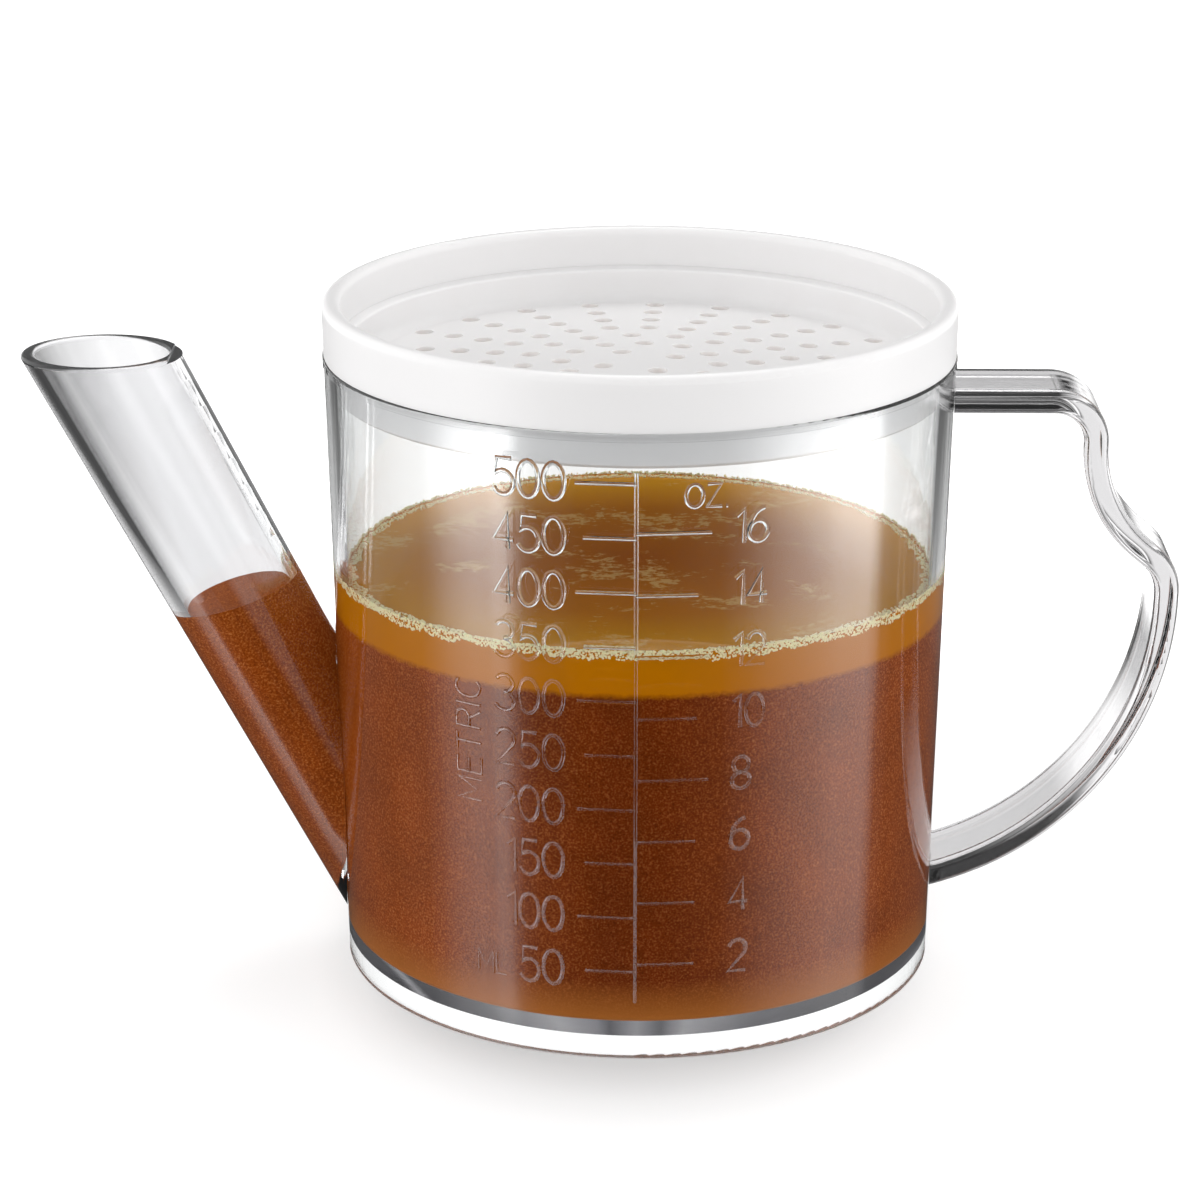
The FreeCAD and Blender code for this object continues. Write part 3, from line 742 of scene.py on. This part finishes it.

# %% [markdown]
# ## Painted light in the gravy
#
# Light from both sides of the jug is painted into the gravy: its brown is paler towards the sides than
# in the middle. Low down a warm tone is painted in, for light that comes up through the floor.

# %% Gravy: painted light from the sides and from below
SIDE_LIGHT_FROM, SIDE_LIGHT_TO = 4 * MM, 26 * MM
SIDE_LIGHT_TINT = (1.66, 1.92, 1.75, 1.0)
FLOOR_LIGHT_FROM, FLOOR_LIGHT_MOST = 12 * MM, 0.95


def gravy_light(tree, part, brown):
    """Adds painted light to gravy's brown: paler at the sides, warm low down. Returns the output."""
    # Painted light: the brown is paler towards both sides, where light from the sides falls.
    painted_paler = {0: 1.0, 6: brown, 7: SIDE_LIGHT_TINT}
    lighter = add_node(tree, "ShaderNodeMix", painted_paler, data_type="RGBA", blend_type="MULTIPLY").outputs[2]
    sideways = add_node(tree, "ShaderNodeMath", {0: part["X"]}, operation="ABSOLUTE")
    side_light_share = add_node(
        tree, "ShaderNodeMapRange", {"Value": sideways, "From Min": SIDE_LIGHT_FROM, "From Max": SIDE_LIGHT_TO}
    )
    lit = add_node(tree, "ShaderNodeMix", {0: side_light_share, 6: brown, 7: lighter}, data_type="RGBA").outputs[2]
    # Painted light: a warm tone low down stands in for light coming up through the floor.
    down = {"Value": part["Z"], "From Min": FLOOR_LIGHT_FROM, "From Max": FLOOR_TOP, "To Max": FLOOR_LIGHT_MOST}
    low = add_node(tree, "ShaderNodeMapRange", down)
    return add_node(tree, "ShaderNodeMix", {0: low, 6: lit, 7: linear("AE692C")}, data_type="RGBA").outputs[2]


print("milky from this far to the side, mm:", round(SIDE_LIGHT_TO / MM, 1))

# %% [markdown]
# ## Painted reflection in the ring under the gravy
#
# Seen through the thick corner of the floor, the jug has a grey ring with pale streaks under the gravy:
# the floor's face mirrors the panels of the room. It is far too small a mirror to trace well, so that
# reflection is painted onto the underside of the contents, as tones in stops from left to right.

# %% Gravy: painted reflection in the ring of the floor
FLOOR_EDGE = 45
REFLECTED_PANEL_TONES = (
    (-30, "706F73"), (-28.5, "CFCED2"), (-27, "706F73"), (-19, "828186"), (-10, "D8D7DA"),
    (-5, "B0AFB4"), (-3.5, "807F84"), (0, "C4C3C7"), (3, "86858A"), (6, "D4D3D6"),
    (15, "939297"), (24, "706F73"), (33, "706F73"), (36, "A6A5AA"),
)
UNDERSIDE = bottom + 0.01 * MM


def floor_ring(tree, part, colour):
    """Adds the painted reflection in the floor's ring, in place of a colour on the underside."""
    edges = {"From Min": -FLOOR_EDGE * MM, "From Max": FLOOR_EDGE * MM}
    span = add_node(tree, "ShaderNodeMapRange", {"Value": part["X"], **edges})
    tone = add_node(tree, "ShaderNodeValToRGB", {"Fac": span})
    # Painted reflection: the room's panels as the floor's face mirrors them, from left to right.
    ramp_stops(tone, [((x + FLOOR_EDGE) / (2 * FLOOR_EDGE), linear(code)) for x, code in REFLECTED_PANEL_TONES])
    under = add_node(tree, "ShaderNodeMath", {0: part["Z"], 1: UNDERSIDE}, operation="LESS_THAN")
    return add_node(tree, "ShaderNodeMix", {0: under, 6: colour, 7: tone}, data_type="RGBA").outputs[2]


print("tones in the floor's ring:", len(REFLECTED_PANEL_TONES))

# %% [markdown]
# ## Gravy as a material
#
# The parts come together in one shader, which the fat's material uses again. Gravy is seen through
# plastic that it touches, so it has hardly any shine of its own: its IOR is close to 1.

# %% Material: gravy


def gravy_shader(tree, place):
    """Adds the shading of gravy to a tree and returns its node."""
    part = add_node(tree, "ShaderNodeSeparateXYZ", {"Vector": place}).outputs
    colour = floor_ring(tree, part, gravy_light(tree, part, gravy_grain(tree, place)))
    return add_node(tree, "ShaderNodeBsdfPrincipled", {"Base Color": colour, "Roughness": 0.35, "IOR": 1.12})


gravy_brown, tree = new_material("gravy_cloudy_brown")
place = add_node(tree, "ShaderNodeTexCoord").outputs["Object"]
add_node(tree, "ShaderNodeOutputMaterial", {"Surface": gravy_shader(tree, place)})
spout_gravy.data.materials.append(gravy_brown)
print("nodes in the gravy:", len(tree.nodes))

# %% [markdown]
# ## What the fat looks like
#
# Melted fat is clear and amber. A refracting, absorbing volume inside refracting plastic is slow and
# noisy, so it is shaded by where it is instead: deep amber where it is seen through the wall, a brown
# that is the gravy showing through from above, and gold towards the rim. A ramp goes from the middle
# of the surface to the wall.

# %% Fat: from the middle to the wall
fat_over_gravy, tree = new_material("melted_fat_over_gravy")
place = add_node(tree, "ShaderNodeTexCoord").outputs["Object"]
part = add_node(tree, "ShaderNodeSeparateXYZ", {"Vector": place}).outputs
flat_place = add_node(tree, "ShaderNodeCombineXYZ", {"X": part["X"], "Y": part["Y"]})
from_axis = add_node(tree, "ShaderNodeVectorMath", {0: flat_place}, operation="LENGTH").outputs["Value"]
span = add_node(tree, "ShaderNodeMapRange", {"Value": from_axis, "From Max": inner_radius(FAT_TOP)})
tone = add_node(tree, "ShaderNodeValToRGB", {"Fac": span})
ramp_stops(
    tone,
    [
        (0.0, linear("98520C")),
        (0.6, linear("B06C0E")),
        (0.9, linear("CC8E12")),
        (0.98, linear("D09016")),
        (0.99, linear("C67900")),
        (1.0, linear("C67900")),
    ],
)
print("stops from the middle to the wall:", len(tone.color_ramp.elements))

# %% [markdown]
# ## Scum on the fat
#
# Flecks of scum drift on the surface in loose rafts. A fine noise makes the flecks and a slow one
# gathers them: their product is over the threshold only where both are high. The wall is left out.

# %% Fat: scum
SCUM_LENGTH, SCUM_WIDTH, SCUM_PATCH = 1.5 * MM, 1.1 * MM, 13 * MM
SCUM_TURN = 0.15
SCUM_FROM, SCUM_TO, SCUM_MOST = 0.3, 0.36, 0.55
WALL_FROM = 0.985

fleck_size = (1 / SCUM_LENGTH, 1 / SCUM_WIDTH, 1 / SCUM_LENGTH)
drawn_out = add_node(
    tree, "ShaderNodeMapping", {"Vector": place, "Scale": fleck_size, "Rotation": (0, 0, SCUM_TURN)}
)
flecks = add_node(
    tree, "ShaderNodeTexNoise", {"Vector": drawn_out, "Scale": 1.0, "Detail": 6.0, "Roughness": 0.65}
)
rafts = add_node(tree, "ShaderNodeTexNoise", {"Vector": place, "Scale": 1 / SCUM_PATCH, "Detail": 2.0})
both = add_node(tree, "ShaderNodeMath", {0: flecks, 1: rafts}, operation="MULTIPLY")
limits = {"From Min": SCUM_FROM, "From Max": SCUM_TO, "To Max": SCUM_MOST}
scum = add_node(tree, "ShaderNodeMapRange", {"Value": both, **limits})
on_top = add_node(tree, "ShaderNodeMath", {0: span, 1: WALL_FROM}, operation="LESS_THAN")
shown = add_node(tree, "ShaderNodeMath", {0: scum, 1: on_top}, operation="MULTIPLY")
surface = add_node(tree, "ShaderNodeMix", {0: shown, 6: tone, 7: linear("DDBE78")}, data_type="RGBA")
print("scum flecks and rafts, mm:", SCUM_LENGTH / MM, SCUM_PATCH / MM)

# %% [markdown]
# ## Where fat ends and gravy begins
#
# The fat's surface is very smooth and mirrors the room. Below a height that wanders a little with a
# noise, the same material is gravy, over a soft edge of a millimetre.

# %% Material: fat over gravy
RAGGED, RAGGED_GRAIN = 0.9 * MM, 1.2 * MM
HALF_EDGE = 0.5 * MM

amber = add_node(
    tree, "ShaderNodeBsdfPrincipled", {"Base Color": surface.outputs[2], "Roughness": 0.02, "IOR": 1.4}
)
ragged = add_node(tree, "ShaderNodeTexNoise", {"Vector": place, "Scale": 1 / RAGGED_GRAIN, "Detail": 3.0})
wander = add_node(tree, "ShaderNodeMath", {0: ragged, 1: RAGGED, 2: part["Z"]}, operation="MULTIPLY_ADD")
border = GRAVY_TOP + RAGGED / 2
edges = {"From Min": border - HALF_EDGE, "From Max": border + HALF_EDGE}
is_fat = add_node(tree, "ShaderNodeMapRange", {"Value": wander, **edges})
liquids = add_node(tree, "ShaderNodeMixShader", {0: is_fat, 1: gravy_shader(tree, place), 2: amber})
add_node(tree, "ShaderNodeOutputMaterial", {"Surface": liquids})
contents.data.materials.append(fat_over_gravy)
print("fat from and to, mm:", GRAVY_TOP / MM, FAT_TOP / MM)

# %% [markdown]
# ## Froth
#
# Tiny bubbles gather in an uneven line where the fat meets the wall. They repeat by the thousand, so a
# node tree sets them: points along a circle, pushed inwards and down at random, further where a noise
# is high, each with a small round bubble. A bubble is an icosphere of 20 faces, which is enough at
# half a millimetre.

# %% Geometry Nodes: where bubbles go
FROTH_SIZES = {
    "Ring Radius": rim_wall,
    "Level": FAT_TOP + 0.6 * MM,
    "Bubbles": 6500,
    "Spread In": 0.3 * MM,
    "Spread Down": 2.6 * MM,
    "Smallest": 0.1 * MM,
    "Largest": 0.26 * MM,
    "Seed": 7,
}
FROTH_PATCH = 4 * MM
DOWN_SEED, SIZE_SEED = 3, 5


def bubble_steps(tree, given):
    """Adds the step of each bubble, inwards and to its level, to a tree and returns its node."""
    spot = add_node(tree, "GeometryNodeInputPosition")
    patchy = add_node(tree, "ShaderNodeTexNoise", {"Vector": spot, "Scale": 1 / FROTH_PATCH, "Detail": 4.0})
    reach = add_node(tree, "ShaderNodeMath", {0: patchy, 1: given["Spread In"]}, operation="MULTIPLY")
    inward = add_node(tree, "FunctionNodeRandomValue", {"Min": 0.0, "Max": reach, "Seed": given["Seed"]})
    fall = add_node(tree, "ShaderNodeMath", {0: patchy, 1: given["Spread Down"]}, operation="MULTIPLY")
    down = add_node(tree, "FunctionNodeRandomValue", {"Min": 0.0, "Max": fall, "Seed": DOWN_SEED})
    out = add_node(tree, "ShaderNodeVectorMath", {0: spot}, operation="NORMALIZE")
    step = add_node(tree, "ShaderNodeVectorMath", {0: out, "Scale": inward.outputs[1]}, operation="SCALE")
    drop = add_node(tree, "ShaderNodeMath", {0: given["Level"], 1: down.outputs[1]}, operation="SUBTRACT")
    lift = add_node(tree, "ShaderNodeCombineXYZ", {"Z": drop})
    return add_node(tree, "ShaderNodeVectorMath", {0: lift, 1: step}, operation="SUBTRACT")


print("bubbles in a ring:", FROTH_SIZES["Bubbles"])

# %% Geometry Nodes: froth
RING_POINTS = 256


def froth_tree():
    """A node tree that scatters bubbles along a ring."""
    tree, given = geometry_tree("froth_along_ring", "Seed Shape", FROTH_SIZES, ("Foam",), "Froth")
    ring = add_node(
        tree, "GeometryNodeCurvePrimitiveCircle", {"Resolution": RING_POINTS, "Radius": given["Ring Radius"]}
    )
    places = {"Curve": ring, "Count": given["Bubbles"]}
    dots = add_node(tree, "GeometryNodeCurveToPoints", places, mode="COUNT")
    steps = bubble_steps(tree, given)
    moved = add_node(tree, "GeometryNodeSetPosition", {"Geometry": dots, "Offset": steps})
    bubble = add_node(tree, "GeometryNodeMeshIcoSphere", {"Radius": 1.0, "Subdivisions": 1})
    limits = {"Min": given["Smallest"], "Max": given["Largest"], "Seed": SIZE_SEED}
    size = add_node(tree, "FunctionNodeRandomValue", limits).outputs[1]
    bubbles = {"Points": moved, "Instance": bubble, "Scale": size}
    set_out = add_node(tree, "GeometryNodeInstanceOnPoints", bubbles)
    real = add_node(tree, "GeometryNodeRealizeInstances", {"Geometry": set_out})
    painted = add_node(tree, "GeometryNodeSetMaterial", {"Geometry": real, "Material": given["Foam"]})
    add_node(tree, "NodeGroupOutput", {"Froth": painted})
    return tree


froth_along_ring = froth_tree()
print("nodes in the froth tree:", len(froth_along_ring.nodes))

# %% [markdown]
# ## Froth on the wall and on the fat
#
# The tree runs twice. Larger bubbles cling to the wall and hang down it in front of the fat, and
# smaller ones lie on the surface, up to three millimetres in. Froth is fat and air, so it is cream
# coloured, and light goes a little way into it.

# %% Two runs of froth
FOAM_DEPTH = 0.5 * MM

foam_cream, tree = new_material("fat_froth_cream")
foam = add_node(
    tree,
    "ShaderNodeBsdfPrincipled",
    {
        "Base Color": linear("F8E8BC"),
        "Roughness": 0.3,
        "Subsurface Weight": 0.3,
        "Subsurface Scale": FOAM_DEPTH,
    },
)
add_node(tree, "ShaderNodeOutputMaterial", {"Surface": foam})
on_surface = {
    "Level": FAT_TOP + 0.1 * MM,
    "Bubbles": 5200,
    "Spread In": 3.4 * MM,
    "Spread Down": 0.0,
    "Smallest": 0.07 * MM,
    "Largest": 0.2 * MM,
    "Seed": 11,
}
for name, sizes in (("froth_on_wall", {}), ("froth_on_surface", on_surface)):
    seed_mesh = bpy.data.meshes.new(name)
    seed_mesh.from_pydata([(0, 0, 0)], [], [])
    seed = bpy.data.objects.new(name, seed_mesh)
    bpy.context.scene.collection.objects.link(seed)
    froth = run_tree(seed, froth_along_ring, {"Foam": foam_cream, **sizes})
    print(name, "faces:", len(froth.data.polygons))

# %% [markdown]
# ## The room
#
# Clear plastic shows nothing but what is round it, so its look is made by the room. The jug stands on
# a white table inside a tent of soft light: a bright panel on the left, a wide one on the right, a
# pale strip far behind, and the dark of the studio between them and behind the viewer. Each panel
# shows as a soft upright stripe in the wall. The world is shaded by direction, and one Color Ramp goes
# round the horizon, from behind the jug over the left, the viewer and the right to behind it again.

# %% World: directions
BRIGHTEST = 3.0

world = bpy.data.worlds.new("light_tent")
bpy.context.scene.world = world
world.use_nodes = True
tree = world.node_tree
tree.nodes.clear()
way = add_node(tree, "ShaderNodeTexCoord").outputs["Generated"]
part = add_node(tree, "ShaderNodeSeparateXYZ", {"Vector": way}).outputs
front = add_node(tree, "ShaderNodeMath", {0: part["Y"], 1: -1.0}, operation="MULTIPLY")
round_way = add_node(tree, "ShaderNodeMath", {0: part["X"], 1: front}, operation="ARCTAN2")
whole_turn = {"From Min": -math.pi, "From Max": math.pi}
turn = add_node(tree, "ShaderNodeMapRange", {"Value": round_way, **whole_turn})
raised = add_node(tree, "ShaderNodeMath", {0: part["Z"], 1: 0.5}, operation="ADD")


def grey(radiance):
    """A radiance as a grey of the ramp."""
    return (radiance / BRIGHTEST,) * 3 + (1.0,)


def heading(degrees):
    """A direction in degrees to the right of the viewer as a place on the ramp."""
    return (degrees + 180) / 360


print("the viewer is at", heading(0), "of the way round")

# %% World: panels round the horizon
PANELS = (
    (-180, 1.2), (-171, 1.2), (-166, 0.06), (-107, 0.12), (-88, 0.26), (-81, 0.6), (-73, 1.3),
    (-63, 2.0), (-57, 2.1), (-54, 2.7), (-50.5, 2.4), (-47, 1.2), (-43.5, 0.42), (-38, 0.14),
    (-21, 0.02), (10, 0.01), (31, 0.1), (41, 0.4), (54, 1.0), (68, 1.5), (80, 1.9),
    (94, 1.7), (98, 1.2), (102, 0.3), (110, 0.12), (166, 0.06), (171, 1.2), (180, 1.1),
)
tent = add_node(tree, "ShaderNodeValToRGB", {"Fac": turn})
ramp_stops(tent, [(heading(degrees), grey(radiance)) for degrees, radiance in PANELS])
print("stops round the horizon:", len(tent.color_ramp.elements))

# %% [markdown]
# ## The ceiling of the tent
#
# The viewer looks down, so the upright walls show what lies below the horizon, and the panels are
# there. Just under the horizon the tent turns to a pale ceiling. It is dimmer over the viewer, whose
# side is open, and dimmest straight above.

# %% World: ceiling
OVER_ROOM = ((-180, 1.1), (-62, 1.1), (-35, 0.5), (35, 0.5), (62, 1.1), (180, 1.1))
TOP_FROM, TOP_TO, TOP_RADIANCE = 0.7, 0.82, 0.35
CEILING_FROM, CEILING_TO = 0.3, 0.42

ceiling_round = add_node(tree, "ShaderNodeValToRGB", {"Fac": turn})
ramp_stops(ceiling_round, [(heading(degrees), grey(radiance)) for degrees, radiance in OVER_ROOM])
top_edge = {"Value": part["Z"], "From Min": TOP_FROM, "From Max": TOP_TO}
overhead = add_node(tree, "ShaderNodeMapRange", top_edge)
roofs = {0: overhead, 6: ceiling_round, 7: grey(TOP_RADIANCE)}
roof = add_node(tree, "ShaderNodeMix", roofs, data_type="RGBA").outputs[2]
sky = add_node(tree, "ShaderNodeValToRGB", {"Fac": raised})
ramp_stops(sky, [(CEILING_FROM, grey(0.0)), (CEILING_TO, grey(BRIGHTEST))])
ceiling = add_node(tree, "ShaderNodeMix", {0: sky, 6: tent, 7: roof}, data_type="RGBA").outputs[2]
print("the ceiling starts at z:", round(CEILING_FROM - 0.5, 2), "to", round(CEILING_TO - 0.5, 2))

# %% [markdown]
# ## The dark behind
#
# Flat faces, such as the fat, are seen from a little above, so they mirror the back at that same
# height. A dark cloth hangs there and keeps them from turning white. It is a band of height, and a Map
# Range of the heading limits it to the back.

# %% World: dark cloth at the back
CLOTH = ((0.04, 0.0), (0.12, BRIGHTEST), (0.6, BRIGHTEST), (0.75, 0.0))
BACK_FROM, BACK_TO = math.radians(140), math.radians(160)

band = add_node(tree, "ShaderNodeValToRGB", {"Fac": part["Z"]})
ramp_stops(band, [(height, grey(share)) for height, share in CLOTH])
aside = add_node(tree, "ShaderNodeMath", {0: round_way}, operation="ABSOLUTE")
behind = add_node(tree, "ShaderNodeMapRange", {"Value": aside, "From Min": BACK_FROM, "From Max": BACK_TO})
dim = add_node(tree, "ShaderNodeMath", {0: band, 1: behind}, operation="MULTIPLY")
shaded = add_node(tree, "ShaderNodeMix", {0: dim, 6: ceiling, 7: grey(0.03)}, data_type="RGBA").outputs[2]
print("the cloth spans degrees:", 360 - 2 * round(math.degrees(BACK_TO)))

# %% [markdown]
# ## How strong the light is at each height
#
# The last ramp sets the strength by height. It peaks 18 degrees below the horizon: the viewer looks
# down by as much, and an upright wall turns light only sideways, so this is the level that its edges
# show. The camera itself sees an even white, as a backdrop is that is lit until it burns out.

# %% World: strength and output
LEVELS = (
    (0.08, 0.75), (0.13, 1.0), (0.16, 1.45), (0.185, 2.95),
    (0.2, 2.6), (0.225, 1.6), (0.4, 1.6), (0.6, 1.0),
)
BACKGROUND = 1.1

level = add_node(tree, "ShaderNodeValToRGB", {"Fac": raised})
ramp_stops(level, [(height, grey(share)) for height, share in LEVELS])
strength = add_node(tree, "ShaderNodeMath", {0: level, 1: BRIGHTEST**2}, operation="MULTIPLY")
lit = add_node(tree, "ShaderNodeBackground", {"Color": shaded, "Strength": strength})
plain = add_node(tree, "ShaderNodeBackground", {"Color": (1, 1, 1, 1), "Strength": BACKGROUND})
seen_by_camera = add_node(tree, "ShaderNodeLightPath").outputs["Is Camera Ray"]
seen = add_node(tree, "ShaderNodeMixShader", {0: seen_by_camera, 1: lit, 2: plain})
add_node(tree, "ShaderNodeOutputWorld", {"Surface": seen})
bpy.context.scene.view_settings.view_transform = "Standard"
print("nodes in the world:", len(tree.nodes))

# %% [markdown]
# ## The table
#
# The jug stands on a sheet of white acrylic that glows from below, as product tables do. It is a little
# wider than the view, and what the plastic shows of it fades towards its sides: the dark room beyond
# is what draws the dark edges in clear plastic. VIEW_NEAR and VIEW_FAR hold half the width of the view
# and how far back it is measured. The sheet lies a hair below the foot, so that the two faces never
# meet, and the walls mirror the tent and not the sheet.

# %% Sheet
VIEW_NEAR, VIEW_FAR = (0.085, -0.12), (0.275, 1.10)
WIDER = 1.3
FLOOR_GAP = 0.05 * MM

near, far = ((WIDER * x, y) for x, y in (VIEW_NEAR, VIEW_FAR))
corners = [(x, y, -FLOOR_GAP) for x, y in ((-near[0], near[1]), near, far, (-far[0], far[1]))]
table_mesh = bpy.data.meshes.new("table")
table_mesh.from_pydata(corners, [], [(0, 1, 2, 3)])
table = bpy.data.objects.new("table", table_mesh)
bpy.context.scene.collection.objects.link(table)
table.visible_glossy = False
print("sheet half width near and far, m:", round(near[0], 3), round(far[0], 3))

# %% [markdown]
# ## The sheet's glow, with a painted shadow
#
# A soft shadow of the jug is painted into the sheet's glow all round its foot, most of all in front.
# Rings of tone round a point just in front of the jug give that painted shadow the same softness at
# any number of samples, and the lamps only add to it.

# %% Material: glow with a painted shadow round the foot
SHEET_TONE = 0.5
SHADE_MIDDLE, SHADE_STRETCH = (-2 * MM, -7 * MM), 1.25
SHADE_REACH = 400
SHADE_RINGS = ((40, 0.26), (46, 0.36), (52, 0.48), (60, 0.58), (80, 0.62), (SHADE_REACH, 0.9))

white_sheet, tree = new_material("white_acrylic_lit_from_below")
sheet = add_node(tree, "ShaderNodeBsdfDiffuse", {"Color": (SHEET_TONE, SHEET_TONE, SHEET_TONE, 1.0)})
place = add_node(tree, "ShaderNodeTexCoord").outputs["Object"]
middle = (-SHADE_MIDDLE[0], -SHADE_MIDDLE[1], 0)
round_foot = add_node(
    tree, "ShaderNodeVectorMath", {0: place, 1: (SHADE_STRETCH, 1, 1), 2: middle}, operation="MULTIPLY_ADD"
)
away = add_node(tree, "ShaderNodeVectorMath", {0: round_foot}, operation="LENGTH").outputs["Value"]
span = add_node(tree, "ShaderNodeMapRange", {"Value": away, "From Max": SHADE_REACH * MM})
# Painted shadow: the glow is dimmer in rings close to the foot, most of all in front.
glow_with_painted_shadow = add_node(tree, "ShaderNodeValToRGB", {"Fac": span})
ramp_stops(glow_with_painted_shadow, [(ring / SHADE_REACH, (tone, tone, tone, 1)) for ring, tone in SHADE_RINGS])
glow = add_node(tree, "ShaderNodeEmission", {"Color": glow_with_painted_shadow, "Strength": 1.0})
lit_sheet = add_node(tree, "ShaderNodeAddShader", {0: sheet, 1: glow})
print("rings of shade:", len(SHADE_RINGS))

# %% Material: the sheet seen through plastic
GLOW_THROUGH = 1.2
SIDE_FADES = ((0.8, 1.0), (0.95, 0.72), (1.1, 0.4), (WIDER, 0.12))

part = add_node(tree, "ShaderNodeSeparateXYZ", {"Vector": place}).outputs
spread = (VIEW_FAR[0] - VIEW_NEAR[0]) / (VIEW_FAR[1] - VIEW_NEAR[1])
widths = {0: part["Y"], 1: spread, 2: VIEW_NEAR[0] - spread * VIEW_NEAR[1]}
half = add_node(tree, "ShaderNodeMath", widths, operation="MULTIPLY_ADD")
outward = add_node(tree, "ShaderNodeMath", {0: part["X"]}, operation="ABSOLUTE")
share = add_node(tree, "ShaderNodeMath", {0: outward, 1: half}, operation="DIVIDE")
across = add_node(tree, "ShaderNodeMapRange", {"Value": share, "From Max": WIDER})
fading = add_node(tree, "ShaderNodeValToRGB", {"Fac": across})
ramp_stops(fading, [(place_out / WIDER, (tone, tone, tone, 1)) for place_out, tone in SIDE_FADES])
through = add_node(tree, "ShaderNodeEmission", {"Color": fading, "Strength": GLOW_THROUGH})
by_plastic = add_node(tree, "ShaderNodeLightPath").outputs["Is Transmission Ray"]
seen = add_node(tree, "ShaderNodeMixShader", {0: by_plastic, 1: lit_sheet, 2: through})
add_node(tree, "ShaderNodeOutputMaterial", {"Surface": seen})
table_mesh.materials.append(white_sheet)
print("the view widens by:", round(spread, 3))

# %% [markdown]
# ## Four lamps
#
# The world lights the plastic, but the white lid and the gravy need light of their own. A soft lamp
# overhead, a little behind the jug, lights the lid and lets a short shadow fall to the front. One on
# each side and one in front fill the rest. They would show as hard squares in the plastic, so only the
# overhead one is mirrored and seen through it.

# %% Lamps
for name, place, side, power in (
    ("overhead_softbox", (0.05, 0.45, 1.1), 0.5, 3.4),
    ("left_softbox", (-0.7, -0.08, 0.25), 0.4, 1.3),
    ("right_softbox", (0.7, -0.08, 0.25), 0.4, 1.15),
    ("front_fill", (0.0, -0.8, 0.45), 0.5, 2.8),
):
    lamp_data = bpy.data.lights.new(name, "AREA")
    lamp_data.size = side
    lamp_data.energy = power
    lamp = bpy.data.objects.new(name, lamp_data)
    lamp.location = place
    lamp.rotation_euler = (-Vector(place)).to_track_quat("-Z", "Y").to_euler()
    lamp.visible_glossy = name == "overhead_softbox"
    lamp.visible_transmission = name == "overhead_softbox"
    bpy.context.scene.collection.objects.link(lamp)
print("lamps:", len(bpy.data.lights))

# %% [markdown]
# ## The camera
#
# The jug is seen from the scale's side and a little from above, with a long lens from half a metre, so
# that the lid's plate shows and the upright lines stay nearly parallel.

# %% Camera
VIEW_DISTANCE, VIEW_HEIGHT = 539.15 * MM, 235.56 * MM
LOOKS_DOWN, LOOKS_ASIDE, LEANS = math.radians(18.489), math.radians(0.625), math.radians(0.046)

camera_data = bpy.data.cameras.new("camera")
camera_data.lens = 112.17
camera_data.sensor_width = 36.0
camera = bpy.data.objects.new("camera", camera_data)
turned_to = (
    Matrix.Rotation(LOOKS_ASIDE, 4, "Z")
    @ Matrix.Rotation(math.pi / 2 - LOOKS_DOWN, 4, "X")
    @ Matrix.Rotation(LEANS, 4, "Z")
)
camera.matrix_world = Matrix.Translation((0.0, -VIEW_DISTANCE, VIEW_HEIGHT)) @ turned_to
bpy.context.scene.collection.objects.link(camera)
bpy.context.scene.camera = camera
print("camera looks down, degrees:", round(math.degrees(LOOKS_DOWN), 2))
